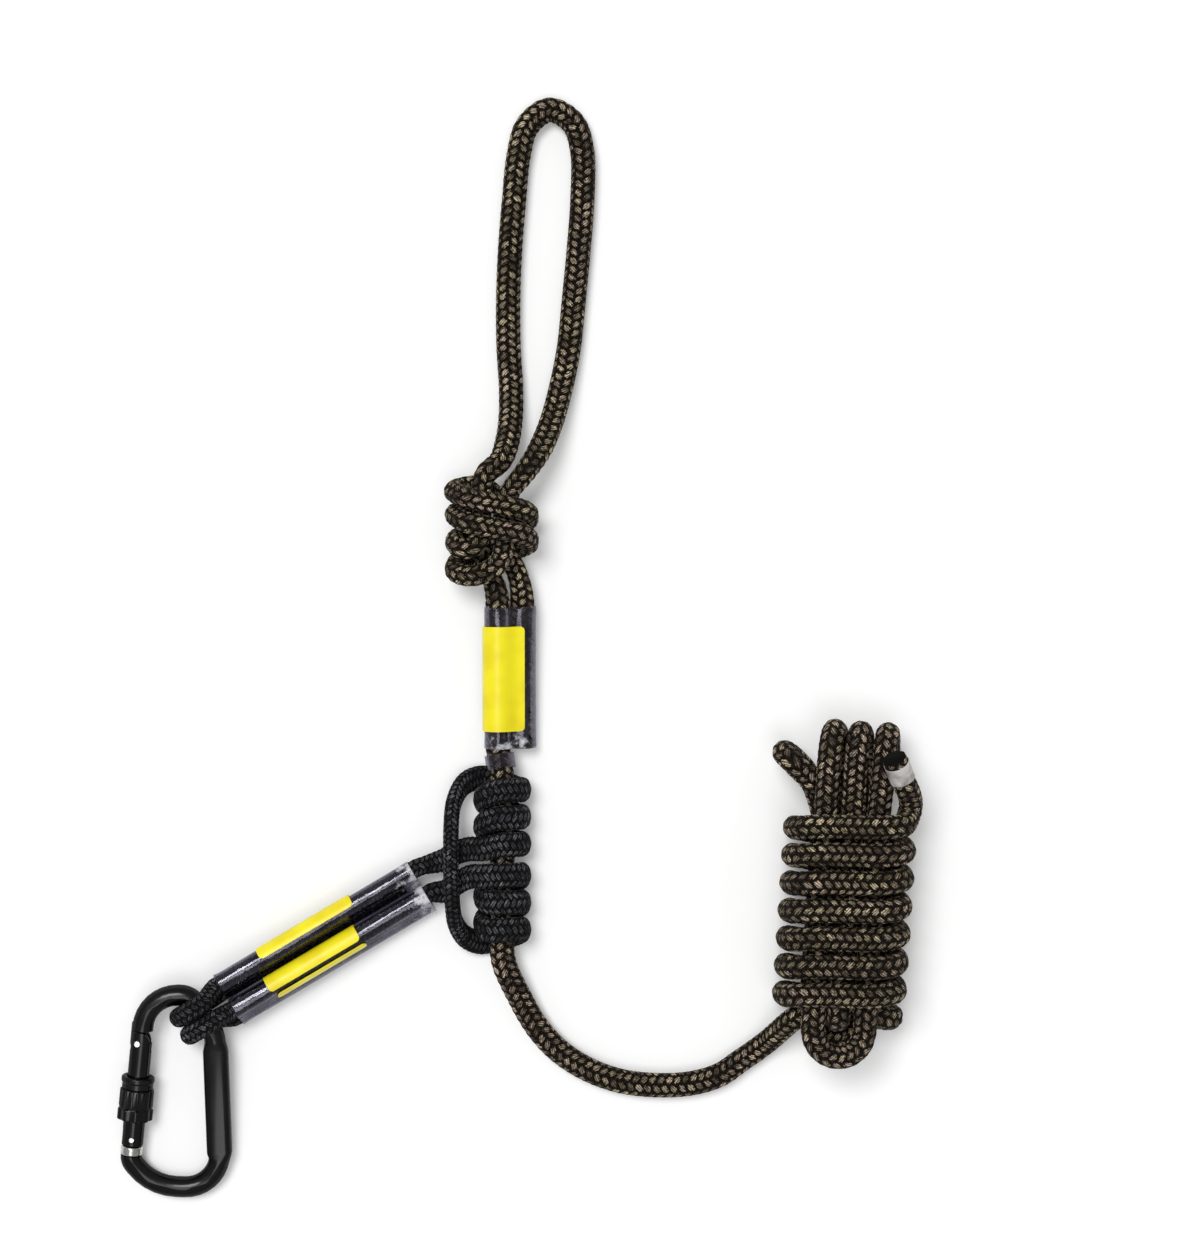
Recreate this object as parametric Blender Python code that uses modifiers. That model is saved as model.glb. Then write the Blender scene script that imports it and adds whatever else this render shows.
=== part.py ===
"""Tree stand safety rope: a looped and knotted rope, a friction hitch with its tether,
a screw-lock carabiner and a stowed hank, laid out flat on a surface at z = 0.
"""
import math

import bmesh
import bpy
import numpy as np
from mathutils import Matrix, Vector

MM = 0.001

# Cords
ROPE_DIAMETER = 12.5 * MM
CORD_DIAMETER = 9.2 * MM
PRESSED_CORD = 8.0 * MM
PRESSED_STRETCH = 1.56
TOUCH_GAP = 0.3 * MM
SLEEVE_WALL = 0.6 * MM
LABEL_THICKNESS = 0.3 * MM

# Where the layout sits over the origin
LAYOUT_SHIFT = Vector((-0.88, 0.19, 0.0)) * MM

# Knot: a doubled overhand about its own four core strands
KNOT_CENTRE = Vector((-11.25, 58.0, 21.4)) * MM
KNOT_PRESS = 0.85
KNOT_PITCH = ROPE_DIAMETER * KNOT_PRESS + 0.7 * MM
KNOT_REACH = (22.0 * MM, 34.0 * MM, 81.0 * MM, 100.0 * MM)
KNOT_CORE_HALF = 0.5
KNOT_WRAP_OUT = 1.04
KNOT_WRAP_STEP = 1.06
KNOT_WRAP_TOP = 0.62

# Wide clear sleeve over the two strands below the knot
SPLICE_START = Vector((-2.9, -50.0, 9.9)) * MM
SPLICE_TILT = math.radians(4.0)
SPLICE_LENGTH = 71.0 * MM
SPLICE_HALF = Vector((5.9, -2.7)) * MM
LOOP_END = 54.0 * MM
SPLICE_LABEL_START = 9.0 * MM
SPLICE_LABEL_LENGTH = 52.0 * MM

# Narrow sleeve above the hitch
NECK_TOP = Vector((-8.45, -52.7, 12.7)) * MM
NECK_BOTTOM = Vector((-7.3, -60.3, 13.38)) * MM
NECK_WALL = 0.9 * MM
NECK_PLAY = 0.45 * MM

# Friction hitch: three turns each side of the legs, round the standing rope
HITCH_CENTRE = Vector((-6.75, -104.0, 13.8)) * MM
HITCH_PITCH = 13.45 * MM
HITCH_TURNS = 2.5
HITCH_PARTING = 1.5 * MM
UPPER_RISE = (0.36, 0.98)
LOWER_RISE = (0.22, 0.88)
COIL_STEPS = 24

# Tether: two sewn eyes side by side
TETHER_PIVOT = Vector((-37.75, -113.0, 9.9)) * MM
TETHER_ANGLE = math.radians(210.5)
TETHER_PITCH = math.radians(2.8)
TETHER_SPACING = 14.2 * MM
SLEEVE_START = 10.5 * MM
SLEEVE_LENGTH = 111.0 * MM
STRAND_PITCH = CORD_DIAMETER + TOUCH_GAP
STRAND_ROLL = math.radians(25.0)
TAIL_SET_BACK = 8.0 * MM
UPPER_LABEL = (44.0 * MM, 97.0 * MM)
LOWER_LABEL = (47.0 * MM, 101.0 * MM)
EYE_THROAT = 14.7 * MM
EYE_REACH = SLEEVE_START + SLEEVE_LENGTH + EYE_THROAT
EYE_START = SLEEVE_START + SLEEVE_LENGTH + 1.5 * MM

# Carabiner, in its own plane, measured from where its bar passes through the eyes
CARABINER_HEIGHT = 15.9 * MM
CARABINER_TILT = math.radians(6.7)
BAR_RADIUS = 5.25 * MM
EYE_PLAY = 0.8 * MM
EYE_LATERAL = 5.5 * MM
EYE_LEAN = 0.3 * MM
EYE_ARC = (math.radians(112.0), math.radians(-112.0))
SPINE_HALF_WIDTH = 6.2 * MM
SPINE_HALF_DEPTH = 4.2 * MM
SPINE_SQUARENESS = 4.0
SPINE_RANGE = (-74.0 * MM, -13.0 * MM)
SPINE_BLEND = 5.0 * MM
TOP_CORNERS = [Vector(corner) * MM for corner in ((6.0, -10.0, 0.0), (-6.0, 10.25, 0.0), (-28.0, 10.25, 0.0))]
RIVET_PLACE = Vector((-32.0, -13.5, 0.0)) * MM
GATE_LEAN = math.radians(6.0)
GATE_OFFSET = 1.5 * MM

# Gate, measured along its axis from the rivet towards the nose
GATE_RADIUS = 5.4 * MM
GATE_BORE = 3.4 * MM
GATE_TOP = -6.0 * MM
GATE_END = 52.3 * MM
GATE_SEAM = 0.35 * MM
TONGUE_HALF_DEPTH = 1.7 * MM
TONGUE_RADIUS = 3.9 * MM
RIVET_RADIUS = 1.6 * MM
RING_LENGTH = 4.4 * MM
RING_RADIUS = 5.45 * MM
NECK_RADIUS = 3.9 * MM
BLADE_HALF_DEPTH = 1.5 * MM
BLADE_HALF_WIDTH = 3.2 * MM
BLADE_TOP = 45.0 * MM
BLADE_PLAY = 1.2 * MM
PIN_PLACE = 48.8 * MM
PIN_RADIUS = 1.2 * MM
PART_GAP = 0.35 * MM

# Screw lock on the gate
LOCK_BORE = GATE_RADIUS + PART_GAP
COLLAR_START = 17.0 * MM
COLLAR_LENGTH = 6.0 * MM
COLLAR_RADIUS = 8.2 * MM
COLLAR_RIM = 3.2 * MM
COLLAR_STEP = 0.5 * MM
COLLAR_SIDES = 48
LOCK_LENGTH = 15.8 * MM
LOCK_RADIUS = 8.5 * MM
LOCK_FLANGE = 8.9 * MM
FLANGE_LENGTH = 5.6 * MM
LOCK_RIBS = 18
RIB_DEPTH = 0.5 * MM
FLANGE_LOBES = 9
LOBE_DEPTH = 0.9 * MM

# Gate spring inside the bore
SPRING_CURLS = 7
SPRING_WIRE = 0.9 * MM
SPRING_LENGTH = 26.0 * MM
PLUNGER_LENGTH = 7.0 * MM

# Hank: eight strands bound by seven wraps, in its own upright frame
HANK_CENTRE = Vector((162.0, -126.5, 30.2)) * MM
HANK_PRESS = 0.96
HANK_LEAN = math.radians(-3.8)
HANK_STRAND = ROPE_DIAMETER + 0.7 * MM
HANK_ROW = ROPE_DIAMETER - 1.0 * MM
HANK_MIDDLE = 6.75 * MM
WRAP_HALF_WIDTH = 2.22 * ROPE_DIAMETER
WRAP_HALF_DEPTH = 2.11 * ROPE_DIAMETER
WRAP_SQUARENESS = 3.8
WRAP_PITCH = 14.2 * MM
WRAP_BOTTOM = -43.5 * MM
WRAP_RANGE = (-0.6, 6.17)
TAPE_LENGTH = 14.5 * MM


def clear_scene():
    for old in list(bpy.data.objects):
        bpy.data.objects.remove(old, do_unlink=True)


def make_collection(name):
    collection = bpy.data.collections.new(name)
    bpy.context.scene.collection.children.link(collection)
    return collection


clear_scene()
PARTS = make_collection("tree_stand_safety_rope")
CUTTERS = make_collection("cutters")


def material(name, colour, roughness, metallic=0.0):
    """Principled surface of one plain colour."""
    made = bpy.data.materials.new(name)
    made.use_nodes = True
    made.diffuse_color = (*colour, 1.0)
    shader = made.node_tree.nodes["Principled BSDF"]
    shader.inputs["Base Color"].default_value = (*colour, 1.0)
    shader.inputs["Roughness"].default_value = roughness
    shader.inputs["Metallic"].default_value = metallic
    return made


ROPE_BROWN = ((0.055, 0.043, 0.032), 0.85)
CORD_BLACK = ((0.018, 0.018, 0.02), 0.8)
SLEEVE_CLEAR = ((0.05, 0.05, 0.055), 0.15)
LABEL_YELLOW = ((0.9, 0.75, 0.02), 0.4)
TAPE_WHITE = ((0.62, 0.6, 0.57), 0.35)
ANODISED_BLACK = ((0.02, 0.02, 0.022), 0.3, 0.85)
BRIGHT_STEEL = ((0.72, 0.72, 0.74), 0.22, 1.0)


def empty(name, place, rotation=(0.0, 0.0, 0.0), parent=None):
    """Frame that carries the pieces of one group."""
    frame = bpy.data.objects.new(name, None)
    frame.empty_display_size = 0.01
    frame.location = place
    frame.rotation_euler = rotation
    frame.parent = parent
    PARTS.objects.link(frame)
    return frame


def settle():
    bpy.context.view_layer.update()


def add(name, data, parent=None, place=(0.0, 0.0, 0.0), rotation=(0.0, 0.0, 0.0), look=None):
    """Named sub-part in the parts collection, in its own material."""
    piece = bpy.data.objects.new(name, data)
    PARTS.objects.link(piece)
    piece.parent = parent
    piece.location = place
    piece.rotation_euler = rotation
    if look is not None:
        piece.data.materials.append(material(name + "_surface", *look))
    return piece


def as_cutter(piece):
    PARTS.objects.unlink(piece)
    CUTTERS.objects.link(piece)
    piece.hide_render = True
    piece.display_type = "WIRE"
    return piece


def combine(piece, other, operation):
    """Boolean with another object, which becomes a hidden guide."""
    change = piece.modifiers.new(operation.lower(), "BOOLEAN")
    change.operation = operation
    change.solver = "EXACT"
    change.object = other
    return piece


# Routes


def mm(points):
    """Hand-chosen points in millimetres as vectors in metres."""
    return [Vector(point) * MM for point in points]


def smooth(points, step=1.0 * MM):
    """Centripetal Catmull-Rom curve through a route's points."""
    route = [Vector(point) for point in points]
    route = [2 * route[0] - route[1]] + route + [2 * route[-1] - route[-2]]
    curve = []
    for first, start, end, last in zip(route, route[1:], route[2:], route[3:]):
        knots = [0.0]
        for near, far in ((first, start), (start, end), (end, last)):
            knots.append(knots[-1] + math.sqrt((far - near).length))
        count = max(2, int((end - start).length / step) + 1)
        for index in range(count):
            at = knots[1] + (knots[2] - knots[1]) * index / count
            one = first.lerp(start, (at - knots[0]) / (knots[1] - knots[0]))
            two = start.lerp(end, (at - knots[1]) / (knots[2] - knots[1]))
            three = end.lerp(last, (at - knots[2]) / (knots[3] - knots[2]))
            four = one.lerp(two, (at - knots[0]) / (knots[2] - knots[0]))
            five = two.lerp(three, (at - knots[1]) / (knots[3] - knots[1]))
            curve.append(four.lerp(five, (at - knots[1]) / (knots[2] - knots[1])))
    curve.append(route[-2])
    return curve


def thinned(curve, turn=math.radians(15.0), reach=3.0 * ROPE_DIAMETER, radius=ROPE_DIAMETER / 2):
    """Fewer points: one where the curve has turned enough, or run far enough.

    In a bend tighter than the tube, the points stand far enough apart for its rings not to cross.
    """
    kept = [curve[0]]
    heading = (curve[1] - curve[0]).normalized()
    turned = 0.0
    run = 0.0
    for before, here, after in zip(curve, curve[1:], curve[2:]):
        step = after - here
        if step.length < 1e-7:
            continue
        direction = step.normalized()
        turned += direction.angle(heading, 0.0)
        run += (here - before).length
        heading = direction
        if (turned >= turn and run >= radius * turned) or run >= reach:
            kept.append(here)
            turned = 0.0
            run = 0.0
    if (kept[-1] - curve[-1]).length < 2.0 * MM and len(kept) > 1:
        kept.pop()
    kept.append(curve[-1])
    return kept


def squared(curve, first=None, last=None, lead=3.0 * MM, turn=math.radians(15.0)):
    """Thinned curve whose ends run straight for a short way, so that their faces are square."""
    kept = thinned(curve, turn)
    if first is not None:
        kept = [kept[0]] + [p for p in kept if (p - curve[0]).length > lead * 1.4]
        kept.insert(1, kept[0] + first * lead)
    if last is not None:
        kept = [p for p in kept if (p - curve[-1]).length > lead * 1.4] + [kept[-1]]
        kept.insert(-1, kept[-1] - last * lead)
    return kept


def evenly(curve, step=1.0 * MM):
    """The curve read at equal steps, as an array."""
    rows = np.array([tuple(point) for point in curve])
    lengths = np.linalg.norm(np.diff(rows, axis=0), axis=1)
    along = np.concatenate([[0.0], np.cumsum(lengths)])
    places = np.linspace(0.0, along[-1], int(along[-1] / step) + 2)
    return np.stack([np.interp(places, along, rows[:, axis]) for axis in range(3)], axis=1)


def least_gap(name, curve, diameter, press=None):
    """Print the least gap of a tube to itself, read on points 1 mm apart."""
    rows = evenly(curve)
    near = int(1.9 * diameter / MM)
    shares = np.array([1.0 if press is None else press(row[1]) for row in rows])
    radii = shares * diameter / 2
    best = 1.0
    for index in range(len(rows) - near):
        apart = np.linalg.norm(rows[index + near:] - rows[index], axis=1)
        best = min(best, (apart - radii[index + near:] - radii[index]).min())
    print(f"{name}: least gap to itself {best / MM:.2f} mm, length {len(rows)} mm")


def tube(name, points, diameter, look, parent=None, sides=8, press=None):
    """Round cord along points, as a curve with filled ends; press thins it along Y."""
    curve = bpy.data.curves.new(name, "CURVE")
    curve.dimensions = "3D"
    curve.bevel_depth = diameter / 2
    curve.bevel_resolution = sides // 2 - 2
    curve.use_fill_caps = True
    spline = curve.splines.new("POLY")
    spline.points.add(len(points) - 1)
    for control, point in zip(spline.points, points):
        control.co = (*point, 1.0)
        control.radius = 1.0 if press is None else press(point[1])
    return add(name, curve, parent, look=look)


def as_mesh(piece, split=False):
    """Turn a curve piece into a closed mesh piece; split makes triangles of its bent faces."""
    settle()
    shape = piece.evaluated_get(bpy.context.evaluated_depsgraph_get())
    mesh = bpy.data.meshes.new_from_object(shape)
    build = bmesh.new()
    build.from_mesh(mesh)
    bmesh.ops.remove_doubles(build, verts=build.verts, dist=0.00001)
    bmesh.ops.recalc_face_normals(build, faces=build.faces)
    if split:
        bmesh.ops.triangulate(build, faces=[face for face in build.faces if len(face.verts) == 4])
    build.to_mesh(mesh)
    build.free()
    name = piece.name
    look = piece.data.materials[0]
    parent = piece.parent
    matrix = piece.matrix_world.copy()
    bpy.data.objects.remove(piece, do_unlink=True)
    made = bpy.data.objects.new(name, mesh)
    PARTS.objects.link(made)
    made.parent = parent
    made.matrix_world = matrix
    mesh.materials.clear()
    mesh.materials.append(look)
    return made


def floor_cutter():
    """Slab whose top is the surface that the object lies on."""
    size = 0.7
    depth = 0.01
    mesh = bpy.data.meshes.new("floor_cutter")
    build = bmesh.new()
    slab = Matrix.Diagonal((size, size, depth, 1.0))
    bmesh.ops.create_cube(build, size=1.0, matrix=Matrix.Translation((0.0, 0.0, -depth / 2)) @ slab)
    build.to_mesh(mesh)
    build.free()
    return as_cutter(add("floor_cutter", mesh))


def cut_flat(piece, cutter):
    """Flat foot where the piece lies on the surface."""
    return combine(piece, cutter, "DIFFERENCE")


# Solids


def box(name, low, high, parent=None, look=None):
    """Box between two corners of the parent's frame."""
    low = Vector(low)
    high = Vector(high)
    mesh = bpy.data.meshes.new(name)
    build = bmesh.new()
    size = Matrix.Diagonal((*(high - low), 1.0))
    bmesh.ops.create_cube(build, size=1.0, matrix=Matrix.Translation((low + high) / 2) @ size)
    build.to_mesh(mesh)
    build.free()
    return add(name, mesh, parent, look=look)


def cylinder(name, radius, low, high, parent=None, look=None, centre=(0.0, 0.0), axis="Z", segments=32):
    """Cylinder between two heights along an axis of the parent's frame."""
    mesh = bpy.data.meshes.new(name)
    build = bmesh.new()
    turn = Matrix.Rotation(-math.pi / 2, 4, "X") if axis == "Y" else Matrix.Identity(4)
    if axis == "Y":
        middle = Vector((centre[0], (low + high) / 2, centre[1]))
    else:
        middle = Vector((centre[0], centre[1], (low + high) / 2))
    bmesh.ops.create_cone(
        build, cap_ends=True, segments=segments, radius1=radius, radius2=radius,
        depth=high - low, matrix=Matrix.Translation(middle) @ turn,
    )
    build.to_mesh(mesh)
    build.free()
    return add(name, mesh, parent, look=look)


def turned(name, profile, parent=None, look=None, centre=(0.0, 0.0), steps=32):
    """Profile of (radius, height) pairs, top to bottom, turned about the frame's Z axis."""
    mesh = bpy.data.meshes.new(name)
    build = bmesh.new()
    corners = [build.verts.new((radius, 0.0, height)) for radius, height in profile]
    for first, second in zip(corners, corners[1:]):
        build.edges.new((first, second))
    if profile[0][0] > 0.0:
        build.edges.new((corners[-1], corners[0]))
    build.to_mesh(mesh)
    build.free()
    piece = add(name, mesh, parent, place=(*centre, 0.0), look=look)
    screw = piece.modifiers.new("turn", "SCREW")
    screw.axis = "Z"
    screw.steps = steps
    screw.render_steps = steps
    screw.use_merge_vertices = True
    screw.merge_threshold = 0.00001
    return piece


def plate(name, outlines, start, end, parent=None, look=None, along="X"):
    """Flat outlines, the first with the others as holes, drawn out along an axis of the frame."""
    curve = bpy.data.curves.new(name, "CURVE")
    curve.dimensions = "2D"
    curve.fill_mode = "BOTH"
    curve.extrude = abs(end - start) / 2
    for outline in outlines:
        spline = curve.splines.new("POLY")
        spline.points.add(len(outline) - 1)
        for control, (x, y) in zip(spline.points, outline):
            control.co = (x, y, 0.0, 1.0)
        spline.use_cyclic_u = True
    middle = (start + end) / 2
    if along == "X":
        return as_mesh(add(name, curve, parent, (middle, 0.0, 0.0), (math.pi / 2, 0.0, math.pi / 2), look))
    return as_mesh(add(name, curve, parent, (0.0, middle, 0.0), (math.pi / 2, 0.0, 0.0), look))


def oval_point(half, radius, turn):
    """Point on the outline round two equal circles; whole turns 0 to 1 and 2 to 3 are the round ends."""
    half = Vector(half)
    side = Vector((-half.y, half.x)).normalized()
    end = half.normalized()
    turn %= 4.0
    if turn < 1.0:
        angle = math.pi * turn
        return -half + radius * (side * math.cos(angle) - end * math.sin(angle))
    if turn < 2.0:
        return (-half).lerp(half, turn - 1.0) - radius * side
    if turn < 3.0:
        angle = math.pi * (turn - 2.0)
        return half + radius * (end * math.sin(angle) - side * math.cos(angle))
    return half.lerp(-half, turn - 3.0) + radius * side


def oval(centre, half, radius, steps=10):
    """Closed outline round two circles side by side."""
    turns = [index / steps for index in range(steps)]
    turns += [2.0 + index / steps for index in range(steps + 1)]
    turns.insert(steps, 1.0)
    return [Vector(centre) + oval_point(half, radius, turn) for turn in turns]


def oval_band(centre, half, radius, thickness, first, last, steps=14):
    """Thin strip that lies on part of the outline round two circles."""
    turns = [first + (last - first) * index / steps for index in range(steps + 1)]
    inner = [Vector(centre) + oval_point(half, radius, turn) for turn in turns]
    outer = [Vector(centre) + oval_point(half, radius + thickness, turn) for turn in turns]
    return inner + outer[::-1]


# Knot and tree loop


def knot(x, y, z):
    """Place in the knot, in strand pitches from its centre."""
    return KNOT_CENTRE + KNOT_PITCH * Vector((x, y, z))


def knot_press(y):
    """Share of its free diameter that the rope keeps, pulled tight in the knot."""
    return float(np.interp(y, KNOT_REACH, (1.0, KNOT_PRESS, KNOT_PRESS, 1.0)))


def knot_wrap(turn, top):
    """Rounded square about the core; turn 0 is the left side and a quarter turn the front."""
    side = 2 * KNOT_CORE_HALF
    quarter = side + KNOT_WRAP_OUT * math.pi / 2
    corner, run = divmod((turn % 1.0) * 4 * quarter + KNOT_CORE_HALF, quarter)
    if run < side:
        out = KNOT_CORE_HALF + KNOT_WRAP_OUT
        across = run - KNOT_CORE_HALF
    else:
        angle = (run - side) / KNOT_WRAP_OUT
        out = KNOT_CORE_HALF + KNOT_WRAP_OUT * math.cos(angle)
        across = KNOT_CORE_HALF + KNOT_WRAP_OUT * math.sin(angle)
    bearing = corner * math.pi / 2
    x = -out * math.cos(bearing) + across * math.sin(bearing)
    z = out * math.sin(bearing) + across * math.cos(bearing)
    return knot(x, top - 2 * KNOT_WRAP_STEP * turn, z)


def wrap_turns(start, end, count):
    return [start + (end - start) * index / (count - 1) for index in range(count)]


def splice_along():
    return Vector((0.0, math.cos(SPLICE_TILT), math.sin(SPLICE_TILT)))


def splice_strand(side, along):
    """Centre of one of the two strands in the wide sleeve, so far up from its lower end."""
    across = Matrix.Rotation(SPLICE_TILT, 3, "X") @ Vector((side * SPLICE_HALF.x, 0.0, side * SPLICE_HALF.y))
    return SPLICE_START + across + splice_along() * along


def tree_loop_route():
    """Tail strand, knot, loop and knot again, ending in the rope that leads to the hank."""
    route = [splice_strand(1, along * MM) for along in (0.0, 4.0, 36.0, 68.0, 72.0)]
    route += mm([(2.7, 28, 12.6), (0.6, 37, 13.8)])
    route += [knot(0.545, -0.75, -0.46), knot(0.51, 0, -0.49), knot(0.5, 0.75, -0.52)]
    route += [knot(0.16, 1.5, -0.55), knot(-0.7, 1.95, -0.6), knot(-1.45, 1.84, -0.35)]
    route.append(knot(-1.66, 1.68, 0.3))
    route += [knot_wrap(turn, KNOT_WRAP_TOP + KNOT_WRAP_STEP) for turn in wrap_turns(0.14, 0.95, 14)]
    route += [knot(-1.62, -0.53, 0.05), knot(-1.35, -0.8, 0.68), knot(-0.78, -0.72, 0.78)]
    route += [knot(-0.5, -0.05, 0.5), knot(-0.5, 0.7, 0.5), knot(-0.48, 1.6, 0.5)]
    route.append(knot(-0.3, 2.4, 0.5))
    route += mm([
        (-7.6, 92, 23.5), (-4.2, 102, 17), (-2.6, 115, 10.5), (-2.6, 130, 7.2), (-3.8, 149, 6.3),
        (-4, 174, 6.3), (-3, 199, 6.3), (-1, 224, 6.3), (1.2, 245, 6.3), (5.6, 260, 6.3),
        (16.6, 267.9, 6.3), (28.2, 261.5, 6.3), (32.8, 248, 6.3), (33, 224, 6.3), (31.2, 199, 6.3),
        (28.8, 174, 6.3), (26.2, 149, 6.8), (21.8, 127, 9.5), (17, 110, 14), (11.5, 97, 20.5), (4.5, 86, 26),
    ])
    route += [knot(0.78, 1.7, 0.5), knot(0.52, 1.0, 0.5), knot(0.5, 0.2, 0.5), knot(0.5, -0.6, 0.58)]
    route += [knot(0.38, -1.3, 0.75), knot(-0.25, -1.85, 0.92), knot(-1.05, -1.99, 0.7)]
    route.append(knot(-1.62, -1.78, 0.05))
    route += [knot_wrap(turn, KNOT_WRAP_TOP) for turn in wrap_turns(0.95, 0.14, 14)]
    route += [knot(-1.62, 0.66, 0.3), knot(-1.5, 0.78, -0.3), knot(-1.05, 0.72, -0.55)]
    route += [knot(-0.58, 0.15, -0.5), knot(-0.51, -0.65, -0.48)]
    route += mm([(-13.9, 39.5, 16.5), (-10, 29.5, 17.6)])
    route += [splice_strand(-1, along) for along in (72.0 * MM, 68.0 * MM, LOOP_END + 2.0 * MM, LOOP_END)]
    return route


def make_tree_loop(root, floor):
    curve = smooth(tree_loop_route())
    least_gap("tree_loop", curve, ROPE_DIAMETER, knot_press)
    points = squared(curve, splice_along(), -splice_along())
    piece = as_mesh(tube("tree_loop", points, ROPE_DIAMETER, ROPE_BROWN, root, 6, knot_press))
    return cut_flat(piece, floor)


def make_standing_rope(root):
    """Rope from the knot through the sleeves and the hitch, round the bend to the hank."""
    axis_x = HITCH_CENTRE.x / MM
    axis_z = HITCH_CENTRE.z / MM
    start = LOOP_END - TOUCH_GAP
    route = [splice_strand(-1, along) for along in (start, start - 4.0 * MM, 27.0 * MM, 4.0 * MM, -0.5 * MM)]
    route += mm([
        (-7.9, -56, 12.9), (-7.05, -62.5, 13.6), (axis_x, -67, axis_z), (axis_x, -76, axis_z),
        (axis_x, -130, axis_z), (axis_x, -146, axis_z), (axis_x, -151.5, axis_z),
        (-5.6, -157.5, 13.7), (-2.7, -164.5, 12.5), (1.2, -172.5, 10.6), (5.8, -181.5, 8.8), (12, -191, 7.4),
        (21.5, -201, 6.7),
        (35.5, -210, 6.45), (52.5, -216, 6.45), (72.3, -218, 6.45), (88.5, -216.8, 6.4),
    ])
    end = hank_to_world(hank_route()[0])
    after = hank_to_world(hank_route()[1])
    direction = (after - end).normalized()
    route += [end - direction * 12.0 * MM, end - direction * TOUCH_GAP]
    points = squared(smooth(route), -splice_along(), direction)
    return as_mesh(tube("standing_rope", points, ROPE_DIAMETER, ROPE_BROWN, root), split=True)


# Hank


def hank_to_world(point):
    turn = Matrix.Rotation(HANK_LEAN, 4, "Z")
    return HANK_CENTRE + turn @ Vector(point)


def column(place, start, end):
    """Straight strand of the hank between two heights, held straight near both ends."""
    lead = 8.0 * MM if end > start else -8.0 * MM
    heights = (start, start + lead, (start + end) / 2, end - lead, end)
    return [Vector((place[0], height, place[1])) for height in heights]


def bight(first, second, height, depth, steps=6):
    """Half round from one strand place to another; depth is how far it reaches past the height."""
    first = Vector(first)
    second = Vector(second)
    middle = (first + second) / 2
    half = (first - second) / 2
    points = []
    for index in range(steps + 1):
        angle = math.pi * index / steps
        place = middle + half * math.cos(angle)
        points.append(Vector((place.x, height + depth * math.sin(angle), place.y)))
    return points


def hank_wrap(turn):
    """Point on the wraps, squared off by the strands they bind; turn 0 is the front."""
    angle = 2 * math.pi * turn
    power = 2.0 / WRAP_SQUARENESS
    x = WRAP_HALF_WIDTH * math.copysign(abs(math.sin(angle)) ** power, math.sin(angle))
    z = WRAP_HALF_DEPTH * math.copysign(abs(math.cos(angle)) ** power, math.cos(angle))
    return Vector((x, WRAP_BOTTOM + WRAP_PITCH * turn, z))


def hank_route():
    """Eight strands up and down, then the wraps from the bottom up and the end at the top."""
    across = HANK_STRAND
    row = HANK_ROW
    low = -39.0 * MM
    high = 43.0 * MM
    front = [(-across, row), (0.0, row), (across, row)]
    back = [(-across, -row), (0.0, -row), (across, -row)]
    back_low = row + 1.4 * MM
    front_low = row + 3.0 * MM
    route = mm([(-47, -86, -24.6), (-40, -80.5, -24.6), (-33, -74, -22), (-28, -67.5, -13.5)])
    route += mm([(-23, -61, -4), (-16.4, -55, 0.6), (-9.8, -48.5, 0.2)])
    route += column((-HANK_MIDDLE, 0.0), low, 40.0 * MM)
    route += mm([(-9, 50, 0), (-16, 57.5, 0.5), (-24, 65, 3.8), (-31.5, 71.5, 4.6), (-36, 76, -4.5)])
    route += mm([(-31.5, 74, -13.8), (-23, 66, -15.6), (-17.3, 56, -13.7)])
    route += column(back[0], high, low)
    route += bight((-across, -back_low), (across, -back_low), -56.0 * MM, -14.0 * MM)
    route += column(back[2], low, high) + mm([(15.6, 57, -12.3)])
    behind = (across + 5.0 * MM, -row - 1.2 * MM)
    route += bight(behind, (across + 1.2 * MM, row + 0.5 * MM), 74.0 * MM, 15.0 * MM)
    route += column(front[2], high, -41.0 * MM) + mm([(13.2, -53, 14.3)])
    route += bight((across, front_low), (-across, front_low), -62.0 * MM, -14.0 * MM)
    route += mm([(-13.2, -53.5, 14.3)]) + column(front[0], -40.0 * MM, high) + mm([(-13.7, 57, 14.1)])
    route += bight((-across - 0.5 * MM, row + 1.5 * MM), (-8.0 * MM, -row - 2.6 * MM), 74.0 * MM, 15.0 * MM)
    route += mm([(-3.0, 58, -13.1)]) + column(back[1], high, -38.0 * MM)
    route += bight(back[1], front[1], -46.5 * MM, -12.0 * MM)
    route += column(front[1], -38.0 * MM, high) + mm([(0, 60, 12)])
    route += bight((0.0, row + 0.5 * MM), (4.4 * MM, -6.8 * MM), 76.0 * MM, 13.0 * MM)
    route += mm([(5.8, 60, -3.2)]) + column((HANK_MIDDLE, 0.0), high, -40.0 * MM)
    route += mm([(10.2, -49.6, 0.35), (17.5, -54.4, 0.2), (24.8, -56.8, -4), (28.6, -56.2, -12)])
    count = int((WRAP_RANGE[1] - WRAP_RANGE[0]) * COIL_STEPS) + 1
    route += [hank_wrap(turn) for turn in wrap_turns(*WRAP_RANGE, count)]
    route += mm([(29.6, 50.5, 5), (29.4, 55.5, 9), (27.2, 60.8, 16), (24.2, 65.5, 21.8), (23.4, 67, 22.9)])
    return [point * HANK_PRESS for point in route]


def make_hank(frame, floor):
    route = hank_route()
    curve = smooth(route)
    least_gap("rope_hank", curve, ROPE_DIAMETER * HANK_PRESS)
    inward = (route[1] - route[0]).normalized()
    outward = (route[-1] - route[-2]).normalized()
    points = squared(curve, inward, outward)
    piece = as_mesh(tube("rope_hank", points, ROPE_DIAMETER * HANK_PRESS, ROPE_BROWN, frame, sides=6))
    cut_flat(piece, floor)
    start = curve[-1] + outward * TOUCH_GAP
    tape = [start, start + outward * TAPE_LENGTH]
    tube("rope_end_tape", tape, ROPE_DIAMETER + 0.4 * MM, TAPE_WHITE, frame, sides=16)


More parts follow.
